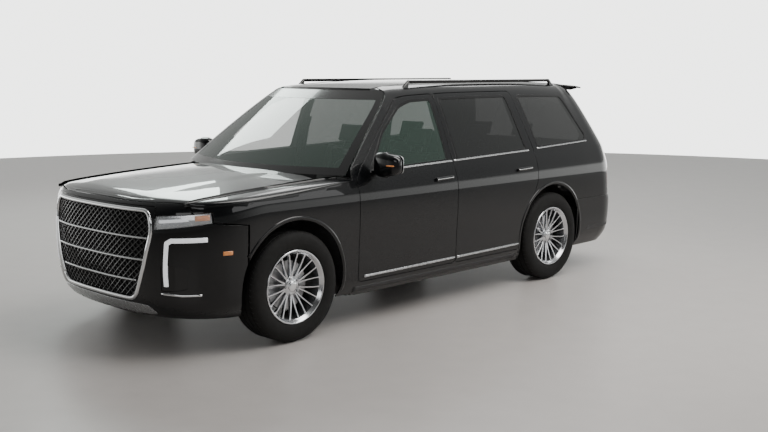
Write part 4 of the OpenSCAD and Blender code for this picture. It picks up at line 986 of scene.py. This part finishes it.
ribbon("front_waist_left", "front_door_left_body", tail_pt,
       polyline([chart_y(DFY + 150, waist(DFY + 150) - 12), chart_y(PY - 12, waist(PY) - 12)], 24), 15, SATIN,
       out=4, thick=4, mirror=True)
ribbon("rear_waist_left", "rear_door_left_body", tail_pt,
       polyline([chart_y(PY + 12, waist(PY) - 12), chart_y(PY + 985, waist(PY + 985) - 12)], 24), 15, SATIN,
       out=4, thick=4, mirror=True)
ribbon("quarter_waist_left", "body", tail_pt,
       polyline([chart_y(PY + 1110, waist(PY + 1110) - 6), chart_y(PY + 1880, waist(PY + 1880) + 2)], 24), 13,
       SATIN, out=4, thick=4, mirror=True)
for nm, cy in (("front", AF), ("rear", AR)):
    ln = arc(cy, ARCH + 16, SILL + 60, 60)
    lf = wing_pt if nm == "front" else tail_pt
    if nm == "front":
        ln = [p for p in ln if p[0] > SEAM]
    ribbon(nm + "_arch_lip_left", "body", lf, ln, 26, PAINT, out=2, thick=5, mirror=True)
ribbon("sill_trim_left", "body", tail_pt, polyline([(DFY - 30, SILL + 42), (DRY - 60, SILL + 42)], 30), 46, TRIM,
       out=2, thick=6, mirror=True)

MY = -792.0  # station of the door mirrors


def superellipsoid(name, c, r, e1, e2, mat, body, seg=(48, 28), shape=None):
    V, F = [], []
    n, m = seg
    def sp(v, e): return math.copysign(abs(v) ** e, v)
    for j in range(m + 1):
        a = -math.pi / 2 + math.pi * j / m
        for i in range(n):
            b = 2 * math.pi * i / n
            p = [r[0] * sp(math.cos(a), e1) * sp(math.cos(b), e2), r[1] * sp(math.cos(a), e1) * sp(math.sin(b), e2),
                 r[2] * sp(math.sin(a), e1)]
            if shape:
                p = shape(p)
            V.append([(c[k] + p[k]) / 1000 for k in range(3)])
    for j in range(m):
        for i in range(n):
            F.append((j * n + i, j * n + (i + 1) % n, (j + 1) * n + (i + 1) % n, (j + 1) * n + i))
    return mesh_object(name, V, F, mat, body)


for sg, sd in ((1, "left"), (-1, "right")):
    bd = f"front_door_{sd}_body"
    def shp(p, sg=sg):
        k = 1 - 0.16 * (p[0] * sg / 120 + 0.5) if p[0] * sg > 0 else 1.0
        return [p[0], p[1] * k * (0.78 if p[1] > 0 else 1.0), p[2] * k]
    head = superellipsoid(f"mirror_shell_{sd}", (sg * (HW + 98), MY - 2, BELT + 36), (120, 62, 90), 0.55, 0.7,
                          PAINT, bd, shape=shp)
    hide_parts(f"mirror_{sd}")
    superellipsoid(f"mirror_face_{sd}", (sg * (HW + 100), MY + 43, BELT + 38), (104, 3.5, 66), 0.4, 0.4, MIRROR, bd)
    superellipsoid(f"mirror_foot_{sd}", (sg * (HW - 6), MY + 6, BELT - 22), (66, 36, 20), 0.7, 0.7, GLOSS, bd)
    superellipsoid(f"mirror_repeater_{sd}", (sg * (HW + 128), MY - 50, BELT + 36), (72, 6, 5), 0.6, 0.6, AMBER, bd,
                   seg=(24, 12))

# ------------------------------------------------------------------ wheels
def lathe(prof, n, cx, cy, cz, mat, name, body, flipx=1):
    V, F = [], []
    m = len(prof)
    for i in range(n):
        a = 2 * math.pi * i / n
        for k, (r, x) in enumerate(prof):
            V.append(((cx + flipx * x) / 1000, (cy + r * math.cos(a)) / 1000, (cz + r * math.sin(a)) / 1000))
    for i in range(n):
        for k in range(m - 1):
            q = (i * m + k, i * m + k + 1, ((i + 1) % n) * m + k + 1, ((i + 1) % n) * m + k)
            F.append(q)
    o = mesh_object(name, V, F, mat, None)
    face_out(o, 1e-6)
    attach(o, body)
    return o


def sharp(o, angle=35):
    o.data.set_sharp_from_angle(angle=math.radians(angle))


lo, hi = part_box("tyre_front_left")
TYRE_HALF = (hi[0] - lo[0]) * 1000 / 2
TR = (hi[2] - lo[2]) * 1000 / 2
RD = 254.0


def tyre_profile():
    w, p = TYRE_HALF, []
    p += [(RD - 20, w - 24), (RD + 1, w - 16), (RD + 8, w - 7), (RD + 16, w - 5), (RD + 24, w - 1.5),
          (TR - 66, w - 0.6), (TR - 46, w - 1.4),
          (TR - 26, w - 7), (TR - 14, w - 15), (TR - 6, w - 25), (TR - 2.5, w - 34)]
    x = w - 38
    cuts = [w * 0.62, w * 0.2, -w * 0.2, -w * 0.62]
    for c in cuts:
        p += [(TR - 0.5 if abs(c) < w * 0.5 else TR - 1, c + 6.2), (TR - 7.5, c + 4.6), (TR - 7.5, c - 4.6),
              (TR - 0.5 if abs(c) < w * 0.5 else TR - 1, c - 6.2)]
    p += [(TR - 2.5, -w + 34), (TR - 6, -w + 25), (TR - 14, -w + 15), (TR - 26, -w + 7), (TR - 66, -w + 0.6),
          (RD + 24, -w + 1.5), (RD + 8, -w + 7), (RD - 20, -w + 24)]
    return p


def wheel(name, side, cy, body):
    sg = 1 if side == "left" else -1
    cx, cz = HALF_TRACK * sg, WZ
    t = lathe(tyre_profile(), 120, cx, cy, cz, RUBBER, f"{name}_tyre_{side}", body, sg)
    sharp(t, 28)
    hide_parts(f"tyre_{name}_{side}")
    # tread blocks: grooves across the shoulders
    V, F = [], []
    for i in range(60):
        a = 2 * math.pi * i / 60
        for s2 in (-1, 1):
            b = len(V)
            for (r, x, da) in ((TR - 0.2, TYRE_HALF * 0.66, 0), (TR - 1.5, TYRE_HALF - 31, 0.02),
                               (TR - 16, TYRE_HALF - 13, 0.03)):
                for dd in (-0.007, 0.007):
                    aa = a + da * s2 + dd
                    V.append(((cx + s2 * x) / 1000, (cy + (r + 0.15) * math.cos(aa)) / 1000,
                              (cz + (r + 0.15) * math.sin(aa)) / 1000))
            F += [(b, b + 1, b + 3, b + 2), (b + 2, b + 3, b + 5, b + 4)]
    mesh_object(f"{name}_tread_{side}", V, F, SEAL, body)
    # barrel and lip
    w = TYRE_HALF
    rim_p = [(RD - 1, w - 15), (RD - 3, w - 9), (RD - 9, w - 7), (RD - 15, w - 11), (RD - 21, w - 24),
             (RD - 30, w - 34), (RD - 36, w - 60), (RD - 38, 0), (RD - 34, -w + 40),
             (RD - 20, -w + 24), (RD - 14, -w + 22)]
    b1 = lathe(rim_p[:6], 120, cx, cy, cz, ALLOY, f"{name}_rim_lip_{side}", body, sg)
    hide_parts(f"rim_{name}_{side}")
    lathe(rim_p[5:], 96, cx, cy, cz, ALLOY_D, f"{name}_rim_barrel_{side}", body, sg)
    # brake disc and hub
    d = lathe([(70, -14), (166, -14), (168, -11), (168, 9), (166, 12), (70, 12), (66, 30)], 72, cx, cy, cz, STEEL,
              f"{name}_disc_{side}", body, sg)
    sharp(d, 30)
    hub = lathe([(0.01, -19), (64, -19), (70, -12), (70, 40), (66, 62), (52, 70), (36, 72)], 60, cx, cy, cz, ALLOY,
                f"{name}_hub_{side}", body, sg)
    sharp(hub, 40)
    lathe([(36, 70), (36, 77), (33, 80), (22, 82.5), (0.01, 83.5)], 48, cx, cy, cz, CHROME, f"{name}_cap_{side}",
          body, sg)
    # ten pairs of spokes
    V, F = [], []
    face_o, face_i = w - 32, 62.0
    for i in range(10):
        for s2 in (-1, 1):
            a0 = 2 * math.pi * i / 10 + math.radians(90)
            st = []
            for t in np.linspace(0, 1, 9):
                r = 46 + (RD - 26 - 46) * t
                ang = a0 + s2 * (math.radians(3.5) + math.radians(6.2) * t ** 0.8)
                wd = 15.5 * (1 - 0.42 * t ** 0.7) + 4.5 * max(t - 0.86, 0) / 0.14
                x = face_i + (face_o - face_i) * t ** 1.8 + 5 * math.sin(math.pi * t)
                st.append((r, ang, wd, x, 30 - 10 * t))
            b = len(V)
            for (r, ang, wd, x, th) in st:
                ca, sa = math.cos(ang), math.sin(ang)
                for (o, dx) in ((-0.5, -1.0), (-0.56, -0.16), (-0.36, 0.0), (0.36, 0.0), (0.56, -0.16),
                                (0.5, -1.0)):
                    yy, zz = r * ca - o * wd * sa, r * sa + o * wd * ca
                    V.append(((cx + sg * (x + dx * th)) / 1000, (cy + yy) / 1000, (cz + zz) / 1000))
            for k in range(len(st) - 1):
                for c in range(6):
                    F.append((b + k * 6 + c, b + k * 6 + (c + 1) % 6, b + (k + 1) * 6 + (c + 1) % 6,
                              b + (k + 1) * 6 + c))
    o = mesh_object(f"{name}_spokes_{side}", V, F, ALLOY, None)
    face_out(o)
    sharp(o, 38)
    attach(o, body)
    # wheel nuts
    V, F = [], []
    for i in range(5):
        a = 2 * math.pi * (i + 0.5) / 5
        yc, zc = 57 * math.cos(a), 57 * math.sin(a)
        b = len(V)
        for (r, x) in ((9.5, 60), (9.5, 76), (7.5, 78.5), (0.01, 78.5)):
            for k in range(6):
                aa = 2 * math.pi * k / 6
                V.append(((cx + sg * x) / 1000, (cy + yc + r * math.cos(aa)) / 1000,
                          (cz + zc + r * math.sin(aa)) / 1000))
        for q in range(3):
            for k in range(6):
                F.append((b + q * 6 + k, b + q * 6 + (k + 1) % 6, b + (q + 1) * 6 + (k + 1) % 6,
                          b + (q + 1) * 6 + k))
    mesh_object(f"{name}_nuts_{side}", V, F, STEEL, body, smooth=False)


for sd in ("left", "right"):
    wheel("front", sd, AF, f"front_wheel_{sd}")
    wheel("rear", sd, AR, f"rear_wheel_{sd}")

# ------------------------------------------------------------------ seats, as soft goods
def cushion(name, w, d, h, place, body="body", channels=(), bolster=0.0, crown=16, mat=LEATHER):
    """A crowned, closed pad: w across, d along, h thick, with sewn channels across it and side bolsters."""
    nx, ny, nz = 34, 34, 8
    V, F, ids = [], [], {}
    def add(i, j, k):
        if (i, j, k) in ids:
            return ids[(i, j, k)]
        u, v, s = 2 * i / nx - 1, 2 * j / ny - 1, 2 * k / nz - 1
        e = 0.30
        def soft(q): return math.copysign(abs(math.sin(abs(q) * math.pi / 2)) ** 0.8 if abs(q) < 1 else 1, q)
        pull = 1 - 0.035 * (1 - v * v)
        pull2 = 1 - 0.03 * (1 - u * u)
        edge = max(abs(u), abs(v)) ** 6
        rx = w / 2 * (1 - 0.10 * edge * abs(s) ** 2.2 * (abs(u) ** 4))
        ry = d / 2 * (1 - 0.10 * edge * abs(s) ** 2.2 * (abs(v) ** 4))
        x, y = u * rx * pull, v * ry * pull2
        z = s * h / 2 * (1 - 0.34 * edge)
        if s > 0:
            z += crown * (1 - u * u) * (1 - v * v) * s
            bol = max(0.0, (abs(u) - 0.66) / 0.34)
            z += bolster * math.sin(min(bol, 1) * math.pi) * s * (1 - 0.4 * abs(v))
            if abs(abs(u) - 0.64) < 0.06:
                z -= 7 * s * (1 - abs(abs(u) - 0.64) / 0.06)
            for c in channels:
                if abs(v - c) < 0.055 and abs(u) < 0.66:
                    z -= 8 * s * (1 - abs(v - c) / 0.055)
        # the welt round the edge
        if abs(s) < 0.16 and max(abs(u), abs(v)) > 0.99:
            x *= 1.006
            y *= 1.006
        p = place @ Vector((x / 1000, y / 1000, z / 1000))
        ids[(i, j, k)] = len(V)
        V.append(tuple(p))
        return ids[(i, j, k)]
    for k in (0, nz):
        for i in range(nx):
            for j in range(ny):
                q = (add(i, j, k), add(i + 1, j, k), add(i + 1, j + 1, k), add(i, j + 1, k))
                F.append(q if k else tuple(reversed(q)))
    for k in range(nz):
        for i in range(nx):
            F.append((add(i, 0, k), add(i + 1, 0, k), add(i + 1, 0, k + 1), add(i, 0, k + 1)))
            F.append((add(i + 1, ny, k), add(i, ny, k), add(i, ny, k + 1), add(i + 1, ny, k + 1)))
        for j in range(ny):
            F.append((add(0, j + 1, k), add(0, j, k), add(0, j, k + 1), add(0, j + 1, k + 1)))
            F.append((add(nx, j, k), add(nx, j + 1, k), add(nx, j + 1, k + 1), add(nx, j, k + 1)))
    o = mesh_object(name, V, F, mat, None)
    sub = o.modifiers.new("soft", "SUBSURF")
    sub.levels = sub.render_levels = 1
    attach(o, body)
    return o


def at(x, y, z, tilt=0.0, axis="X"):
    """place in millimetres, turned by tilt degrees"""
    return Matrix.Translation(Vector((x / 1000, y / 1000, z / 1000))) @ Matrix.Rotation(math.radians(tilt), 4, axis)


def hard_box(name, lo, hi, mat, body="body", bev=8):
    bm = bmesh.new()
    bmesh.ops.create_cube(bm, size=1)
    for v in bm.verts:
        v.co = Vector([(lo[k] + hi[k]) / 2000 + v.co[k] * (hi[k] - lo[k]) / 1000 for k in range(3)])
    bmesh.ops.bevel(bm, geom=bm.edges[:], offset=bev / 1000, segments=3, affect="EDGES", profile=0.6)
    me = bpy.data.meshes.new(name)
    bm.to_mesh(me)
    bm.free()
    for p in me.polygons:
        p.use_smooth = True
    me.set_sharp_from_angle(angle=math.radians(50))
    o = bpy.data.objects.new(name, me)
    bpy.context.scene.collection.objects.link(o)
    me.materials.append(mat)
    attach(o, body)
    return o


def seat(tag, x, w, y, base, back, rep=None):
    hard_box(tag + "_plinth", (x - w / 2 + 62, y + 62, base + 0.5), (x + w / 2 - 62, y + 438, base + 128), PLASTIC)
    c = cushion(tag + "_cushion", w - 6, 500, 138, at(x, y + 256, base + 193), channels=(-0.5, -0.1, 0.3),
                bolster=14, crown=10)
    if rep:
        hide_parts(rep)
    r = at(x, y + 410, base + 250, -20)
    b = r @ at(0, 62, back / 2, 90)
    cushion(tag + "_back", w - 30, back - 16, 104, b, channels=(-0.55, -0.15, 0.25, 0.6), bolster=12, crown=8)
    hd = r @ at(0, 52, back + 104, 90)
    cushion(tag + "_headrest", 246, 150, 74, hd, crown=10)
    for i, px in enumerate((-60, 60)):
        o = lathe([(6, back - 30), (6, back + 40)], 16, 0, 0, 0, STEEL, f"{tag}_post_{i}", "body")
        o.parent = None
        m = r @ at(px, 60, 0, -90, "Y")
        o.data.transform(m)
        o.matrix_world = Matrix.Identity(4)
        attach(o, "body")


FRONT_SEAT_X, MIDDLE_SEAT_X, SEAT_BACK = 400, 380, 620
fl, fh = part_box("front_seats")
ml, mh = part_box("middle_seats")
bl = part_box("back_bench")[0]
base = fl[2] * 1000
fw = (fh[0] * 1000 - FRONT_SEAT_X) * 2
fy = fl[1] * 1000
seat("driver_seat", FRONT_SEAT_X, fw, fy, base, SEAT_BACK, "front_seats")
seat("passenger_seat", -FRONT_SEAT_X, fw, fy, base, SEAT_BACK)
mw = (mh[0] * 1000 - MIDDLE_SEAT_X) * 2
my = ml[1] * 1000
mb = ml[2] * 1000
seat("middle_seat_left", MIDDLE_SEAT_X, mw, my, mb, SEAT_BACK, "middle_seats")
seat("middle_seat_right", -MIDDLE_SEAT_X, mw, my, mb, SEAT_BACK)
by, bz = bl[1] * 1000, bl[2] * 1000
for i, x in enumerate((-240, 240)):
    c = cushion(f"back_cushion_{i}", 474, 450, 162, at(x, by + 230, bz + 84), channels=(-0.4, 0.1), bolster=6,
                crown=8)
    if i == 0:
        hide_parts("back_bench")
    r = at(x, by + 370, bz + 150, -18)
    cushion(f"back_rest_{i}", 464, 470, 90, r @ at(0, 50, 240, 90),
            channels=(-0.4, 0.1, 0.5), bolster=6, crown=6)
    cushion(f"back_headrest_{i}", 214, 118, 64, r @ at(0, 50, 543, 90), crown=7)

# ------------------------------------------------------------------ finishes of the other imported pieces
CAD = {"floor_pan": CARPET, "body_side": PAINT, "roof_panel": GLOSS, "bulkhead": UNDER, "cowl": PLASTIC,
       "front_fenders": PAINT,
       "front_bumper": GLOSS, "rear_bumper": GLOSS, "wheel_liners": PLASTIC, "front_frame": UNDER, "engine": ENGINE,
       "front_subframe": UNDER,
       "rear_subframe": UNDER, "fuel_tank": PLASTIC, "exhaust": STEEL, "dashboard": SOFT_DASH, "roof_rails": GLOSS,
       "bonnet": PAINT,
       "tailgate": GLOSS, "plate_holder": PLASTIC, "front_door": TRIM, "rear_door": TRIM, "steering_wheel": LEATHER,
       "knuckle": IRON}
for n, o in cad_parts.items():
    o = o if hasattr(o, "material_slots") else bpy.data.objects[o]
    m = next((v for k, v in CAD.items() if n.startswith(k)), TRIM)
    if not o.material_slots:
        o.data.materials.append(m)
    for s in o.material_slots:
        s.material = m

# blank plate
superellipsoid("plate_blank", (0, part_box("plate_holder")[1][1] * 1000 + 1.2, 792), (252, 1.6, 54), 0.12, 0.12,
               PLATE, "tailgate_body", seg=(40, 20))
# screen on the dashboard
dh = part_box("dashboard")[1]
hard_box("dash_screen", (-150, dh[1] * 1000 - 160, dh[2] * 1000 - 18),
         (150, dh[1] * 1000 - 146, dh[2] * 1000 + 118), DISPLAY, bev=5)

# ------------------------------------------------------------------ floor, light, camera
bm = bmesh.new()
bmesh.ops.create_circle(bm, cap_ends=True, radius=14.0, segments=128)
me = bpy.data.meshes.new("floor")
bm.to_mesh(me)
bm.free()
floor = bpy.data.objects.new("floor", me)
bpy.context.scene.collection.objects.link(floor)
floor.location.z = -0.0005
me.materials.append(material("floor_pale", (0.43, 0.405, 0.39), 0.36, bump=0.02, scale=30, vary=0.03, dist=0.002))


def area(name, loc, aim, size, energy, col=(1, 1, 1)):
    l = bpy.data.lights.new(name, "AREA")
    l.shape = "RECTANGLE"
    l.size, l.size_y = size
    l.energy = energy
    l.color = col
    o = bpy.data.objects.new(name, l)
    bpy.context.scene.collection.objects.link(o)
    o.location = loc
    o.rotation_euler = (Vector(aim) - Vector(loc)).to_track_quat("-Z", "Y").to_euler()
    return o


area("key_top", (2.7, 0.8, 5.2), (0.3, 0, 0.8), (3.0, 6.5), 400, (1, 0.98, 0.95))
area("front_fill", (4.5, -8.5, 3.6), (0, -1.5, 0.7), (5.0, 2.4), 80)
area("side_fill", (8.5, 2.0, 3.4), (0, 0.5, 0.8), (7.0, 1.8), 70)
area("rear_fill", (-4.0, 6.5, 6.4), (0, 1.0, 0.8), (6.0, 2.4), 170)
area("far_side", (-5.8, 1.5, 5.1), (0, -1.0, 1.2), (2.6, 2.4), 190, (0.9, 1, 0.96))
w = bpy.data.worlds.new("studio")
bpy.context.scene.world = w
w.use_nodes = True
nt = w.node_tree
bg = nt.nodes["Background"]
bg.inputs["Color"].default_value = (0.94, 0.95, 0.93, 1)
tc = nt.nodes.new("ShaderNodeTexCoord")
dt = nt.nodes.new("ShaderNodeVectorMath")
dt.operation = "DOT_PRODUCT"
dt.inputs[1].default_value = (-0.70, 0.70, 0.12)
mr = nt.nodes.new("ShaderNodeMapRange")
mr.interpolation_type = "SMOOTHSTEP"
fill_in(mr, {"From Min": -0.75, "From Max": 0.95, "To Min": 0.22, "To Max": 3.8})
nt.links.new(tc.outputs["Generated"], dt.inputs[0])
nt.links.new(dt.outputs["Value"], mr.inputs["Value"])
sx = nt.nodes.new("ShaderNodeSeparateXYZ")
mz = nt.nodes.new("ShaderNodeMapRange")
mz.interpolation_type = "SMOOTHSTEP"
fill_in(mz, {"From Min": 0.065, "From Max": 0.16, "To Min": 1.0, "To Max": 0.2})
mu = nt.nodes.new("ShaderNodeMath")
mu.operation = "MULTIPLY"
nt.links.new(tc.outputs["Generated"], sx.inputs["Vector"])
nt.links.new(sx.outputs["Z"], mz.inputs["Value"])
nt.links.new(mr.outputs["Result"], mu.inputs[0])
nt.links.new(mz.outputs["Result"], mu.inputs[1])
nt.links.new(mu.outputs["Value"], bg.inputs["Strength"])

cam = bpy.data.cameras.new("camera")
co = bpy.data.objects.new("camera", cam)
bpy.context.scene.collection.objects.link(co)
cam.sensor_width = 36
cam.lens = 36 * 1027 / 768
cam.clip_end = 200
co.location = (6.075, -5.924, 1.844)
yaw, pitch = math.radians(44.44), math.radians(-8.40)
fwd = Vector((-math.sin(yaw) * math.cos(pitch), math.cos(yaw) * math.cos(pitch), math.sin(pitch)))
co.rotation_euler = fwd.to_track_quat("-Z", "Y").to_euler()
bpy.context.scene.camera = co
